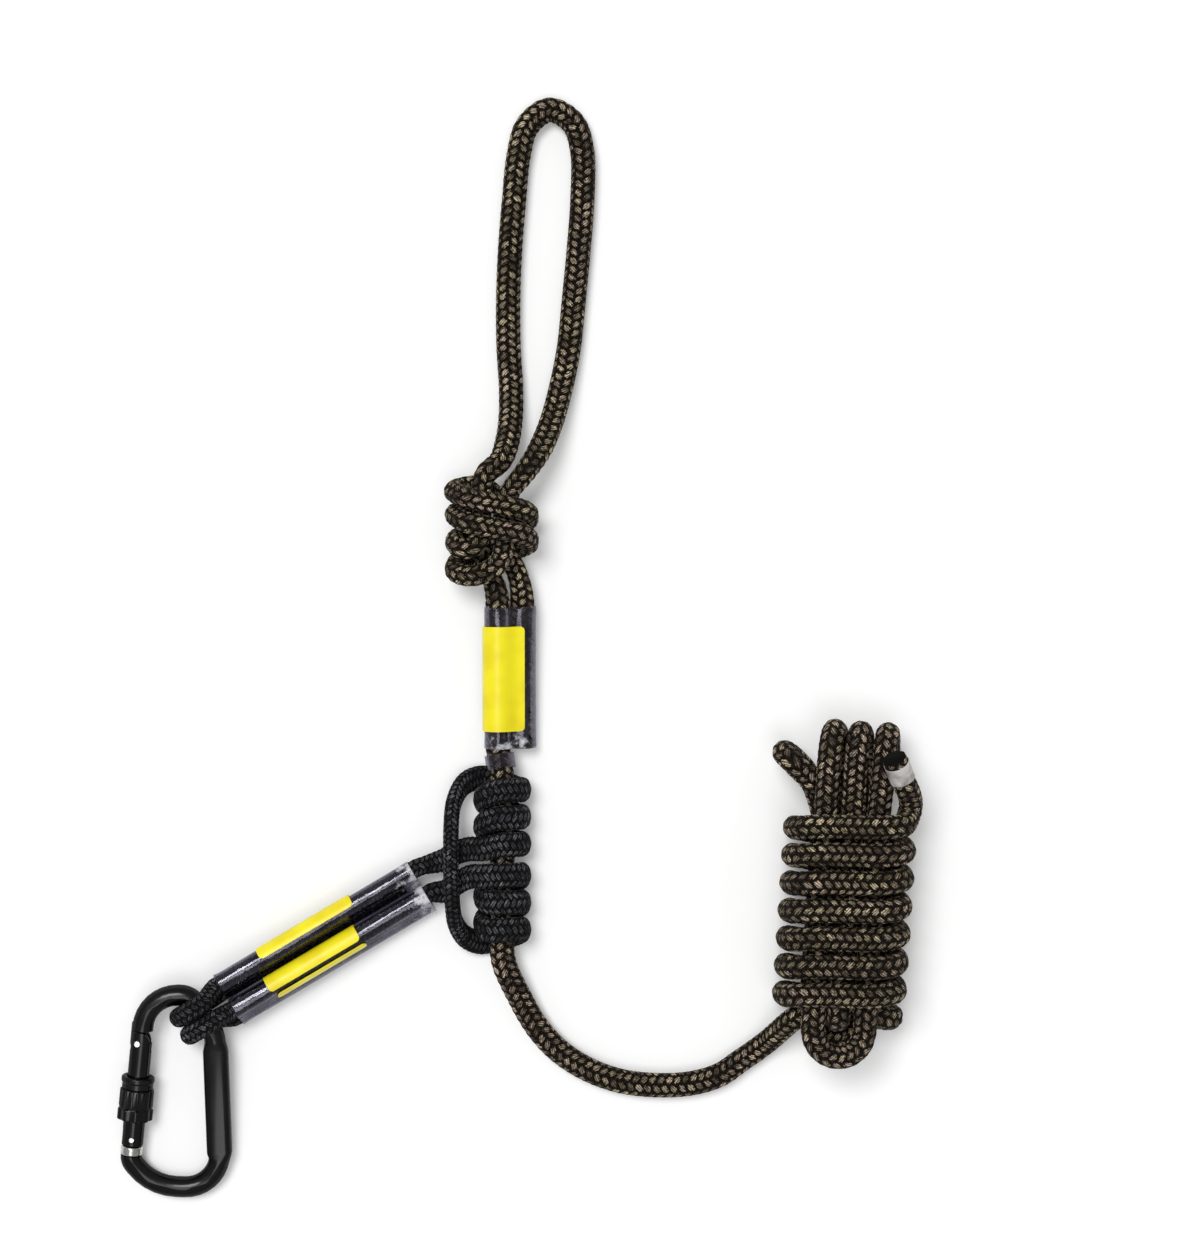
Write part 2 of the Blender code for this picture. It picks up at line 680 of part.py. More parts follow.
# Friction hitch


def coil_radius():
    return (ROPE_DIAMETER + PRESSED_CORD) / 2 + TOUCH_GAP


def hitch(x, y, z):
    """Place from the hitch's centre, before the cord is drawn out along the rope."""
    return Vector((x, y / PRESSED_STRETCH, z)) * MM


def hitch_coil(turn, side):
    """Point on the turns of one side, counted from the front where the leg comes in."""
    angle = 2 * math.pi * turn
    whole, part = divmod(turn, 1.0)
    first, last = UPPER_RISE if side > 0 else LOWER_RISE
    rise = min(1.0, max(0.0, (part - first) / (last - first)))
    along = side * HITCH_PITCH * (0.5 + whole + rise)
    if side < 0:
        along -= HITCH_PARTING
    return Vector((coil_radius() * math.sin(angle), along / PRESSED_STRETCH, coil_radius() * math.cos(angle)))


def hitch_route():
    """Leg, three turns, the bridge over both legs, three turns and the other leg."""
    turns = wrap_turns(0.0, HITCH_TURNS, int(HITCH_TURNS * COIL_STEPS) + 1)
    route = [hitch(-27.5, -0.4, -1.2), hitch(-22.5, 2.4, 0.2), hitch(-16, 4.5, 4.8), hitch(-8.5, 4.8, 9.3)]
    route += [hitch_coil(turn, 1) for turn in turns]
    route += [hitch(-6, 38.7, -10.7), hitch(-12.5, 39, -9.2), hitch(-19.5, 35.8, -4.4)]
    route += [hitch(-24, 27, 2), hitch(-25, 15, 7.6), hitch(-25, 3, 9.6), hitch(-25, -8, 9.8)]
    route += [hitch(-24.4, -22, 7.6), hitch(-23.2, -32, 2), hitch(-18.8, -39.6, -4.4)]
    route += [hitch(-12, -42.9, -9.2), hitch(-6, -42.5, -10.7)]
    route += [hitch_coil(turn, -1) for turn in reversed(turns)]
    route += [hitch(-8.5, -8.55, 9.35), hitch(-16, -9.3, 4.9), hitch(-22.5, -13, 0.2)]
    route.append(hitch(-26.8, -15.8, -1.2))
    return route


def make_hitch(frame, floor):
    """The cord is built round, then drawn out along the rope as it is pressed flat."""
    curve = smooth(hitch_route())
    least_gap("prusik_hitch", curve, PRESSED_CORD)
    piece = as_mesh(tube("prusik_hitch", thinned(curve), PRESSED_CORD, CORD_BLACK, frame, sides=6))
    piece.data.transform(Matrix.Diagonal((1.0, PRESSED_STRETCH, 1.0, 1.0)))
    return cut_flat(piece, floor)


def leg_ends(side):
    """Where a leg leaves the hitch and the way its end faces, in the layout's frame."""
    route = hitch_route()
    end, before = (route[0], route[1]) if side > 0 else (route[-1], route[-2])
    place = HITCH_CENTRE + Vector((end.x, end.y * PRESSED_STRETCH, end.z))
    facing = end - before
    facing.y /= PRESSED_STRETCH
    return place, facing.normalized()


# Tether


def tether_turn():
    return Matrix.Rotation(TETHER_ANGLE, 4, "Z") @ Matrix.Rotation(-TETHER_PITCH, 4, "Y")


def tether_to_world(point):
    return TETHER_PIVOT + tether_turn() @ Vector(point)


def strand_half():
    """Half the step from the top strand to the one below it, across and down."""
    return Vector((math.sin(STRAND_ROLL), -math.cos(STRAND_ROLL))) * STRAND_PITCH / 2


def make_leg(name, side, parent_root):
    """Short bare cord between the hitch and its sleeve."""
    start, leaving = leg_ends(side)
    lateral = -side * TETHER_SPACING / 2 - strand_half().x
    height = -strand_half().y
    lead = 2.0 * MM
    end = tether_to_world((SLEEVE_START - TOUCH_GAP, lateral, height))
    before = tether_to_world((SLEEVE_START - TOUCH_GAP - lead, lateral, height))
    first = start + leaving * TOUCH_GAP
    points = [first, first + leaving * lead, before, end]
    return as_mesh(tube(name, points, CORD_DIAMETER, CORD_BLACK, parent_root), split=True)


def make_sewn_eye(prefix, side, frame, eye_frame, label, label_turns):
    """Sleeve with its two strands, its label and its eye round the carabiner's bar."""
    lateral = -side * TETHER_SPACING / 2
    half = strand_half()
    end = SLEEVE_START + SLEEVE_LENGTH
    for name, sign, start in (("core", -1, SLEEVE_START), ("tail", 1, SLEEVE_START + TAIL_SET_BACK)):
        y = lateral + sign * half.x
        z = sign * half.y
        points = [Vector((start, y, z)), Vector((end, y, z))]
        tube(f"{prefix}_{name}", points, CORD_DIAMETER, CORD_BLACK, frame, sides=16)
    inner = CORD_DIAMETER / 2 + TOUCH_GAP
    outer = inner + SLEEVE_WALL
    centre = (lateral, 0.0)
    outlines = [oval(centre, half, outer), oval(centre, half, inner)]
    plate(f"{prefix}_sleeve", outlines, SLEEVE_START, end, frame, SLEEVE_CLEAR)
    band = oval_band(centre, half, outer + TOUCH_GAP, LABEL_THICKNESS, *label_turns)
    plate(f"{prefix}_label", [band], *label, frame, LABEL_YELLOW)
    make_eye(f"{prefix}_eye", side, eye_frame)


def make_eye(name, side, frame):
    """Loop of cord that leaves the sleeve, goes over the bar and comes back under it."""
    lateral = -side * TETHER_SPACING / 2
    half = strand_half()
    radius = BAR_RADIUS + EYE_PLAY + CORD_DIAMETER / 2
    start = SLEEVE_START + SLEEVE_LENGTH + TOUCH_GAP
    lead = Vector((2.0 * MM, 0.0, 0.0))
    top = [Vector((start, lateral - half.x, -half.y))]
    top.append(top[0] + lead)
    low = [Vector((start, lateral + half.x, half.y))]
    low.insert(0, low[0] + lead)
    loop = []
    steps = 14
    for index in range(steps + 1):
        share = index / steps
        angle = EYE_ARC[0] + (EYE_ARC[1] - EYE_ARC[0]) * share
        middle = bar_centre(-side * EYE_LATERAL + EYE_LEAN * (2 * share - 1))
        loop.append(middle + radius * Vector((math.cos(angle), 0.0, math.sin(angle))))
    curve = smooth(top + loop + low)
    ahead = lead.normalized()
    points = [point - frame.location for point in squared(curve, ahead, -ahead, lead.length)]
    return as_mesh(tube(name, points, CORD_DIAMETER, CORD_BLACK, frame), split=True)


def bar_centre(lateral):
    """Point of the bar's centre line so far across the tether, in the tether's frame."""
    to_tether = tether_turn().to_3x3().inverted()
    centre = to_tether @ (carabiner_place() - TETHER_PIVOT)
    along_bar = to_tether @ (carabiner_turn() @ (TOP_CORNERS[0] - TOP_CORNERS[1]))
    return centre + along_bar * (lateral - centre.y) / along_bar.y


# Carabiner


def carabiner_place():
    flat = Matrix.Rotation(TETHER_ANGLE, 4, "Z") @ Vector((EYE_REACH, 0.0, 0.0))
    return Vector((TETHER_PIVOT.x + flat.x, TETHER_PIVOT.y + flat.y, CARABINER_HEIGHT))


def carabiner_turn():
    return Matrix.Rotation(CARABINER_TILT, 3, "X")


def gate_direction():
    return Vector((-math.sin(GATE_LEAN), -math.cos(GATE_LEAN), 0.0))


def gate_inward():
    return Vector((math.cos(GATE_LEAN), -math.sin(GATE_LEAN), 0.0))


def on_gate(along):
    """Point on the gate tube's axis, in the carabiner's plane."""
    return RIVET_PLACE + gate_inward() * GATE_OFFSET + gate_direction() * along


def filleted(corners, radii, step=math.radians(11.0)):
    """Stations (point, heading) through corners, each inner one rounded to its own radius."""
    path = [(corners[0], (corners[1] - corners[0]).normalized())]
    for before, corner, after, radius in zip(corners, corners[1:], corners[2:], radii):
        back = (before - corner).normalized()
        ahead = (after - corner).normalized()
        bend = math.pi - back.angle(ahead)
        reach = radius * math.tan(bend / 2)
        middle = corner + (back + ahead).normalized() * radius / math.cos(bend / 2)
        start = corner + back * reach - middle
        count = max(2, math.ceil(bend / step))
        sense = 1.0 if back.cross(ahead).z < 0.0 else -1.0
        for index in range(count + 1):
            turn = Matrix.Rotation(sense * bend * index / count, 3, "Z")
            path.append((middle + turn @ start, turn @ -back))
    path.append((corners[-1], (corners[-1] - corners[-2]).normalized()))
    return path


def bar_path():
    """Centre line of the bent bar, from the nose round the bottom and the spine to the hinge."""
    nose = on_gate(GATE_END + PART_GAP + RING_LENGTH + PART_GAP)
    hinge = on_gate(GATE_TOP - GATE_SEAM)
    corners = [nose, nose + gate_direction() * 2.6 * MM]
    corners += mm([(-26.75, -86.6, 0), (8.0, -87.8, 0)]) + TOP_CORNERS
    corners.append(hinge)
    radii = [radius * MM for radius in (6.0, 26.3, 17.0, 14.0, 9.0, 17.5)]
    return with_blend_stations(filleted(corners, radii))


def with_blend_stations(path):
    """Extra stations on the spine where the section changes."""
    low, high = SPINE_RANGE
    heights = [low + SPINE_BLEND * share for share in (0.0, 0.5, 1.0)]
    heights += [high - SPINE_BLEND * share for share in (1.0, 0.5, 0.0)]
    full = [path[0]]
    for (start, heading), (end, facing) in zip(path, path[1:]):
        if start.x > 0.0 and end.x > 0.0 and end.y > start.y:
            for height in heights:
                if start.y + 0.5 * MM < height < end.y - 0.5 * MM:
                    share = (height - start.y) / (end.y - start.y)
                    full.append((start.lerp(end, share), heading.lerp(facing, share).normalized()))
        full.append((end, facing))
    return full


def spine_share(point):
    """0 on the round bar, 1 on the flattened spine."""
    low, high = SPINE_RANGE
    if point.x <= 0.0:
        return 0.0
    rise = min(1.0, max(0.0, (point.y - low) / SPINE_BLEND))
    fall = min(1.0, max(0.0, (high - point.y) / SPINE_BLEND))
    share = min(rise, fall)
    return share * share * (3.0 - 2.0 * share)


def bar_section(point, sides=16):
    """Section of the bar at a point: a circle that squares off into the flat spine."""
    share = spine_share(point)
    width = BAR_RADIUS + (SPINE_HALF_WIDTH - BAR_RADIUS) * share
    depth = BAR_RADIUS + (SPINE_HALF_DEPTH - BAR_RADIUS) * share
    power = 2.0 / (2.0 + (SPINE_SQUARENESS - 2.0) * share)
    section = []
    for index in range(sides):
        angle = 2 * math.pi * (index + 0.5) / sides
        across = width * math.copysign(abs(math.cos(angle)) ** power, math.cos(angle))
        up = depth * math.copysign(abs(math.sin(angle)) ** power, math.sin(angle))
        section.append((across, up))
    return section


def loft(name, rings, parent, look):
    """Skin through rings of equal count, closed at both ends."""
    mesh = bpy.data.meshes.new(name)
    build = bmesh.new()
    rows = [[build.verts.new(point) for point in ring] for ring in rings]
    count = len(rows[0])
    for lower, upper in zip(rows, rows[1:]):
        for index in range(count):
            following = (index + 1) % count
            build.faces.new((lower[index], lower[following], upper[following], upper[index]))
    build.faces.new(rows[0][::-1])
    build.faces.new(rows[-1])
    bmesh.ops.recalc_face_normals(build, faces=build.faces)
    build.to_mesh(mesh)
    build.free()
    return add(name, mesh, parent, look=look)


def make_carabiner_body(frame, gate_frame):
    """Bent bar with its spine, the hinge tongue, and the nose neck with its blade."""
    rings = []
    for point, heading in bar_path():
        side = Vector((-heading.y, heading.x, 0.0))
        rings.append([point + side * across + Vector((0, 0, up)) for across, up in bar_section(point)])
    body = loft("carabiner_body", rings, frame, ANODISED_BLACK)
    nose_end = GATE_END + PART_GAP + RING_LENGTH + PART_GAP
    neck = cylinder("neck_guide", NECK_RADIUS, GATE_END + PART_GAP, nose_end + 2.0 * MM, gate_frame,
                    centre=(GATE_OFFSET, 0.0))
    blade = box("blade_guide", (GATE_OFFSET - BLADE_HALF_WIDTH, -BLADE_HALF_DEPTH, BLADE_TOP),
                (GATE_OFFSET + BLADE_HALF_WIDTH, BLADE_HALF_DEPTH, GATE_END + 3.0 * MM), gate_frame)
    tongue = box("tongue_guide", (-TONGUE_RADIUS, -TONGUE_HALF_DEPTH, GATE_TOP - 4.0 * MM),
                 (TONGUE_RADIUS, TONGUE_HALF_DEPTH, 0.0), gate_frame)
    knuckle = cylinder("knuckle_guide", TONGUE_RADIUS, -TONGUE_HALF_DEPTH, TONGUE_HALF_DEPTH, gate_frame,
                       axis="Y")
    for guide in (neck, blade, tongue, knuckle):
        combine(body, as_cutter(guide), "UNION")
    hole = cylinder("rivet_hole", RIVET_RADIUS + PART_GAP, -6.0 * MM, 6.0 * MM, gate_frame, axis="Y")
    notch = cylinder("notch_hole", PIN_RADIUS + PART_GAP, -4.0 * MM, 4.0 * MM, gate_frame,
                     centre=(GATE_OFFSET, PIN_PLACE), axis="Y")
    reach = PIN_RADIUS + PART_GAP
    mouth = box("notch_mouth", (GATE_OFFSET, -4.0 * MM, PIN_PLACE - reach),
                (GATE_OFFSET + 6.0 * MM, 4.0 * MM, PIN_PLACE + reach), gate_frame)
    for guide in (hole, notch, mouth):
        combine(body, as_cutter(guide), "DIFFERENCE")
    return body


def make_hinge_rivet(gate_frame):
    """Rivet through the gate's fork and the body's tongue."""
    half = math.sqrt(GATE_RADIUS ** 2 - GATE_OFFSET ** 2) + 0.1 * MM
    return cylinder("hinge_rivet", RIVET_RADIUS, -half, half, gate_frame, BRIGHT_STEEL, axis="Y")


def make_nose_ring(gate_frame):
    """Bright band round the neck below the gate's end."""
    start = GATE_END + PART_GAP
    end = start + RING_LENGTH
    inner = NECK_RADIUS + PART_GAP
    edge = 0.4 * MM
    profile = [(inner, end), (RING_RADIUS - edge, end), (RING_RADIUS, end - edge)]
    profile += [(RING_RADIUS, start + edge), (RING_RADIUS - edge, start), (inner, start)]
    return turned("nose_ring", profile, gate_frame, BRIGHT_STEEL, centre=(GATE_OFFSET, 0.0))


def make_gate(gate_frame):
    """Tube with a fork at the hinge, a slot for the blade and a bore for the spring."""
    edge = 0.5 * MM
    profile = [(0.0, GATE_END), (GATE_RADIUS - edge, GATE_END), (GATE_RADIUS, GATE_END - edge),
               (GATE_RADIUS, GATE_TOP + edge), (GATE_RADIUS - edge, GATE_TOP), (0.0, GATE_TOP)]
    gate = turned("gate", profile, gate_frame, ANODISED_BLACK, centre=(GATE_OFFSET, 0.0))
    far = 20.0 * MM
    beyond = 1.0 * MM
    bore_top = TONGUE_RADIUS + PART_GAP
    fork = TONGUE_HALF_DEPTH + PART_GAP
    slot = BLADE_HALF_DEPTH + PART_GAP
    axis = (GATE_OFFSET, 0.0)
    pin = (GATE_OFFSET, PIN_PLACE)
    cuts = [
        cylinder("gate_bore", GATE_BORE, bore_top - beyond, GATE_END + beyond, gate_frame, centre=axis),
        box("fork_slot", (-far, -fork, GATE_TOP - beyond), (far, fork, bore_top), gate_frame),
        box("blade_slot", (-far, -slot, BLADE_TOP - BLADE_PLAY),
            (GATE_OFFSET + BLADE_HALF_WIDTH + TOUCH_GAP, slot, GATE_END + beyond), gate_frame),
        cylinder("gate_rivet_hole", RIVET_RADIUS + PART_GAP, -far, far, gate_frame, axis="Y"),
        cylinder("gate_pin_hole", PIN_RADIUS + TOUCH_GAP, -far, far, gate_frame, centre=pin, axis="Y"),
    ]
    for cut in cuts:
        combine(gate, as_cutter(cut), "DIFFERENCE")
    corner = box("fork_corner", (0.0, -far, GATE_TOP - 3.0 * MM), (far, far, 0.0), gate_frame)
    relief = cylinder("fork_relief", -GATE_TOP, -far * 1.2, far * 1.2, gate_frame, axis="Y", segments=48)
    combine(corner, as_cutter(relief), "DIFFERENCE")
    combine(gate, as_cutter(corner), "DIFFERENCE")
    return gate


def make_latch_pin(gate_frame):
    """Cross pin that the blade's notch holds when the gate is shut."""
    half = GATE_RADIUS - 0.2 * MM
    place = (GATE_OFFSET, PIN_PLACE)
    return cylinder("latch_pin", PIN_RADIUS, -half, half, gate_frame, BRIGHT_STEEL, place, "Y", segments=16)


def make_plunger_and_spring(gate_frame):
    """Plunger against the tongue's round end, and the spring behind it."""
    start = TONGUE_RADIUS + PART_GAP
    radius = GATE_BORE - TOUCH_GAP
    end = start + PLUNGER_LENGTH
    point = 1.5 * MM
    tip = radius - 1.2 * MM
    profile = [(0.0, end), (radius, end), (radius, start + point), (tip, start), (0.0, start)]
    turned("spring_plunger", profile, gate_frame, BRIGHT_STEEL, centre=(GATE_OFFSET, 0.0), steps=20)
    coil = GATE_BORE - TOUCH_GAP - SPRING_WIRE / 2
    first = end + TOUCH_GAP + SPRING_WIRE / 2
    points = []
    steps = SPRING_CURLS * 10
    for index in range(steps + 1):
        angle = 2 * math.pi * index / 10
        along = first + SPRING_LENGTH * index / steps
        points.append(Vector((GATE_OFFSET + coil * math.cos(angle), coil * math.sin(angle), along)))
    tube("gate_spring", points, SPRING_WIRE, BRIGHT_STEEL, gate_frame, sides=6)


def ring_loft(name, stations, bore, parent, look, count):
    """Hollow ring: outer outlines at their heights, one round bore through them."""
    mesh = bpy.data.meshes.new(name)
    build = bmesh.new()

    def row(height, reach):
        points = []
        for index in range(count):
            angle = 2 * math.pi * index / count
            radius = reach(angle)
            points.append(build.verts.new((radius * math.cos(angle), radius * math.sin(angle), height)))
        return points

    rows = [row(height, reach) for height, reach in stations]
    first = stations[0][0]
    last = stations[-1][0]
    rows = [row(first, lambda angle: bore)] + rows + [row(last, lambda angle: bore)]
    for lower, upper in zip(rows, rows[1:] + rows[:1]):
        for index in range(count):
            following = (index + 1) % count
            build.faces.new((lower[index], lower[following], upper[following], upper[index]))
    bmesh.ops.recalc_face_normals(build, faces=build.faces)
    build.to_mesh(mesh)
    build.free()
    return add(name, mesh, parent, look=look)


def lobed(radius, depth=0.0, lobes=1):
    """Outline that waves in by a depth, a number of times round."""
    return lambda angle: radius - depth * (0.5 - 0.5 * math.cos(lobes * angle))


def make_lock(collar_frame, lock_frame):
    """Plain collar above the seam, and the ribbed sleeve with its lobed flange below."""
    edge = 0.6 * MM
    start = COLLAR_START
    end = start + COLLAR_LENGTH
    plain = lobed(COLLAR_RADIUS)
    narrow = lobed(COLLAR_RADIUS - edge)
    waist = lobed(COLLAR_RADIUS - COLLAR_STEP)
    stations = [(start, narrow), (start + edge, plain), (start + COLLAR_RIM - edge, plain)]
    stations += [(start + COLLAR_RIM, waist), (end, waist)]
    ring_loft("sleeve_collar", stations, LOCK_BORE, collar_frame, ANODISED_BLACK, COLLAR_SIDES)
    start = end + PART_GAP
    end = start + LOCK_LENGTH
    flange = end - FLANGE_LENGTH
    ribs = lobed(LOCK_RADIUS, RIB_DEPTH, LOCK_RIBS)
    lobes = lobed(LOCK_FLANGE, LOBE_DEPTH, FLANGE_LOBES)
    lobes_in = lobed(LOCK_FLANGE - edge, LOBE_DEPTH, FLANGE_LOBES)
    groove = lobed(LOCK_RADIUS - edge)
    stations = [(start, groove), (start + edge, ribs), (flange - 2 * edge, ribs), (flange - edge, groove)]
    stations += [(flange, lobes), (end - edge, lobes), (end, lobes_in)]
    ring_loft("lock_sleeve", stations, LOCK_BORE, lock_frame, ANODISED_BLACK, LOCK_RIBS * 4)


# Sleeves on the rope


def make_splice(root):
    """Wide sleeve over the two strands below the knot, with its label."""
    frame = empty("splice_frame", SPLICE_START, (SPLICE_TILT, 0.0, 0.0), root)
    inner = ROPE_DIAMETER / 2 + TOUCH_GAP
    outer = inner + SLEEVE_WALL
    outlines = [oval((0, 0), SPLICE_HALF, outer), oval((0, 0), SPLICE_HALF, inner)]
    plate("splice_sleeve", outlines, 0.0, SPLICE_LENGTH, frame, SLEEVE_CLEAR, along="Y")
    band = oval_band((0, 0), SPLICE_HALF, outer + TOUCH_GAP, LABEL_THICKNESS, 3.35, 4.75)
    end = SPLICE_LABEL_START + SPLICE_LABEL_LENGTH
    plate("rope_label", [band], SPLICE_LABEL_START, end, frame, LABEL_YELLOW, along="Y")


def make_neck_sleeve(root):
    """Short sleeve on the rope just above the hitch."""
    along = NECK_TOP - NECK_BOTTOM
    frame = empty("neck_frame", NECK_BOTTOM, along.to_track_quat("Z", "Y").to_euler(), root)
    inner = ROPE_DIAMETER / 2 + NECK_PLAY
    outer = inner + NECK_WALL
    length = along.length
    profile = [(inner, length), (outer, length), (outer, 0.0), (inner, 0.0)]
    turned("neck_sleeve", profile, frame, SLEEVE_CLEAR)


def build():
    root = empty("rope_layout", LAYOUT_SHIFT)
    floor = floor_cutter()
    make_tree_loop(root, floor)
    make_standing_rope(root)
    make_splice(root)
    make_neck_sleeve(root)

    hank_frame = empty("hank_frame", HANK_CENTRE, (0.0, 0.0, HANK_LEAN), root)
    make_hank(hank_frame, floor)

    hitch_frame = empty("hitch_frame", HITCH_CENTRE, parent=root)
    make_hitch(hitch_frame, floor)
    make_leg("upper_leg", 1, root)
    make_leg("lower_leg", -1, root)

    tether = empty("tether_frame", TETHER_PIVOT, (0.0, -TETHER_PITCH, TETHER_ANGLE), root)
    eyes = empty("eye_frame", (EYE_START, 0.0, 0.0), parent=tether)
    make_sewn_eye("upper", 1, tether, eyes, UPPER_LABEL, (0.1, 1.4))
    make_sewn_eye("lower", -1, tether, eyes, LOWER_LABEL, (3.75, 4.6))

    carabiner = empty("carabiner_frame", carabiner_place(), (CARABINER_TILT, 0.0, 0.0), root)
    gate_turn = Matrix((gate_inward(), (0.0, 0.0, 1.0), gate_direction())).transposed().to_euler()
    hinge = empty("hinge_frame", RIVET_PLACE, gate_turn, carabiner)
    make_carabiner_body(carabiner, hinge)
    make_hinge_rivet(hinge)
    make_nose_ring(hinge)
    gate = empty("gate_frame", (0.0, 0.0, 0.0), parent=hinge)
    make_gate(gate)
    make_latch_pin(gate)
    make_plunger_and_spring(gate)
    collar = empty("collar_frame", (GATE_OFFSET, 0.0, 0.0), parent=gate)
    lock = empty("lock_frame", (0.0, 0.0, 0.0), parent=collar)
    make_lock(collar, lock)


build()
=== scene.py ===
"""Looks of a tree stand safety rope, laid out flat: braided rope with a knotted loop and a
stowed hank, black cord with its friction hitch and two sewn eyes, clear sleeves with
yellow labels, a taped rope end and a screw-lock carabiner.
"""

import math

import bmesh
import bpy
import numpy as np
from mathutils import Matrix, Vector


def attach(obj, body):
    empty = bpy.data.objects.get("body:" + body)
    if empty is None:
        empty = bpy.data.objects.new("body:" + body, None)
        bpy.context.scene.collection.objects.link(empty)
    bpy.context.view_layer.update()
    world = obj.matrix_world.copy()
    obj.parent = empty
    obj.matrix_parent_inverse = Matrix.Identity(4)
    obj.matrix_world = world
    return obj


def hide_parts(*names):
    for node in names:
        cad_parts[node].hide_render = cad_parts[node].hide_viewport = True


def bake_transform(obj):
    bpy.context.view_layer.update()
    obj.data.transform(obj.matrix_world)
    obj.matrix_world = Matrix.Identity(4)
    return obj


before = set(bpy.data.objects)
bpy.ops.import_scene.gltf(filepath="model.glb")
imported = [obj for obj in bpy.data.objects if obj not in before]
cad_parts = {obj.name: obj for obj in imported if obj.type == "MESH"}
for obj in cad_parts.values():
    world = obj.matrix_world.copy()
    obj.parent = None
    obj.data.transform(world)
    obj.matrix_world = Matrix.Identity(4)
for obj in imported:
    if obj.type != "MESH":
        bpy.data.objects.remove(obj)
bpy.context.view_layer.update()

MM = 0.001

# Where the layout sits over the origin
LAYOUT_SHIFT = Vector((-0.88, 0.19, 0.0)) * MM

# Cords
ROPE_DIAMETER = 12.5 * MM
CORD_DIAMETER = 9.2 * MM
PRESSED_CORD = 8.0 * MM
PRESSED_STRETCH = 1.56
ROPE_SPACING = 0.8 * MM
CORD_SPACING = 0.65 * MM
TOUCH_GAP = 0.3 * MM
SLEEVE_WALL = 0.6 * MM
ROPE_STEP = 4.24 * MM
CORD_STEP = 2.5 * MM
STRANDS = 8
ROPE_RELIEF = 0.55 * MM
CORD_RELIEF = 0.35 * MM

# Knot
KNOT_CENTRE = Vector((-11.25, 58.0, 21.4)) * MM
KNOT_PRESS = 0.85
KNOT_PITCH = ROPE_DIAMETER * KNOT_PRESS + 0.7 * MM
KNOT_REACH = (22.0 * MM, 34.0 * MM, 81.0 * MM, 100.0 * MM)
KNOT_CORE_HALF = 0.5
KNOT_WRAP_OUT = 1.04
KNOT_WRAP_STEP = 1.06
KNOT_WRAP_TOP = 0.62

# Wide clear sleeve
SPLICE_START = Vector((-2.9, -50.0, 9.9)) * MM
SPLICE_TILT = math.radians(4.0)
SPLICE_LENGTH = 71.0 * MM
SPLICE_HALF = Vector((5.9, -2.7)) * MM
SPLICE_LABEL = (9.0 * MM, 61.0 * MM)
SPLICE_LABEL_TURNS = (3.14, 4.75)
SPLICE_DIP = 1.8 * MM
# Milky white at the sleeve's two ends: crumpled film's milkiness, partly a painted reflection
SPLICE_FROST_AND_PAINTED_GLARE = (0.75, 0.15)
SPLICE_FILM = (0.3 * MM, SPLICE_LENGTH - 0.4 * MM)

# Narrow sleeve
NECK_TOP = Vector((-8.45, -52.7, 12.7)) * MM
NECK_BOTTOM = Vector((-7.3, -60.3, 13.38)) * MM
NECK_HALF = (0.02 * MM, 0.0)
NECK_RADIUS = 7.35 * MM
NECK_FILM = 0.3 * MM
NECK_RUFFLE = 0.15
# Milky white at the sleeve's two ends: crumpled film's milkiness, partly a painted reflection
NECK_FROST_AND_PAINTED_GLARE = (0.1, 0.1)

# Friction hitch
HITCH_CENTRE = Vector((-6.75, -104.0, 13.8)) * MM
HITCH_PITCH = 13.45 * MM
HITCH_TURNS = 2.5
HITCH_PARTING = 1.5 * MM
UPPER_RISE = (0.36, 0.98)
LOWER_RISE = (0.22, 0.88)
COIL_STEPS = 24

# Tether
TETHER_PIVOT = Vector((-37.75, -113.0, 9.9)) * MM
TETHER_ANGLE = math.radians(210.5)
TETHER_PITCH = math.radians(2.8)
TETHER_SPACING = 14.2 * MM
SLEEVE_START = 10.5 * MM
SLEEVE_LENGTH = 111.0 * MM
STRAND_PITCH = CORD_DIAMETER + TOUCH_GAP
STRAND_ROLL = math.radians(25.0)
TAIL_SET_BACK = 8.0 * MM
UPPER_LABEL = (44.0 * MM, 97.0 * MM)
UPPER_LABEL_TURNS = (0.377, 1.4)
LOWER_LABEL = (49.5 * MM, 101.0 * MM)
LOWER_LABEL_TURNS = (4.25, 5.3)
LOWER_STRIP = (48.5 * MM, 99.0 * MM)
LOWER_STRIP_TURNS = (3.6, 4.1)
TETHER_DIP = 1.0 * MM
# Milky white at the sleeves' two ends: crumpled film's milkiness, partly a painted reflection
TETHER_FROST_AND_PAINTED_GLARE = (1.0, 0.1)
EYE_REACH = 136.2 * MM
LEG_LEAD = 2.3 * MM

# Carabiner
CARABINER_HEIGHT = 15.9 * MM
CARABINER_TILT = math.radians(6.7)
BAR_RADIUS = 5.25 * MM
EYE_PLAY = 0.8 * MM
EYE_LATERAL = 5.5 * MM
EYE_LEAN = 0.3 * MM
EYE_ARC = (math.radians(112.0), math.radians(-112.0))
EYE_SPREAD = 1.08
EYE_BUNCH = 0.45 * MM
EYE_RUN = 9.0 * MM
TOP_CORNERS = [Vector(corner) * MM for corner in ((6.0, -10.0, 0.0), (-6.0, 10.25, 0.0))]

# Metal edges
SAME_POINT = 0.000002
FLAT_ANGLE = math.radians(0.5)
EDGE_ANGLE = math.radians(38.0)

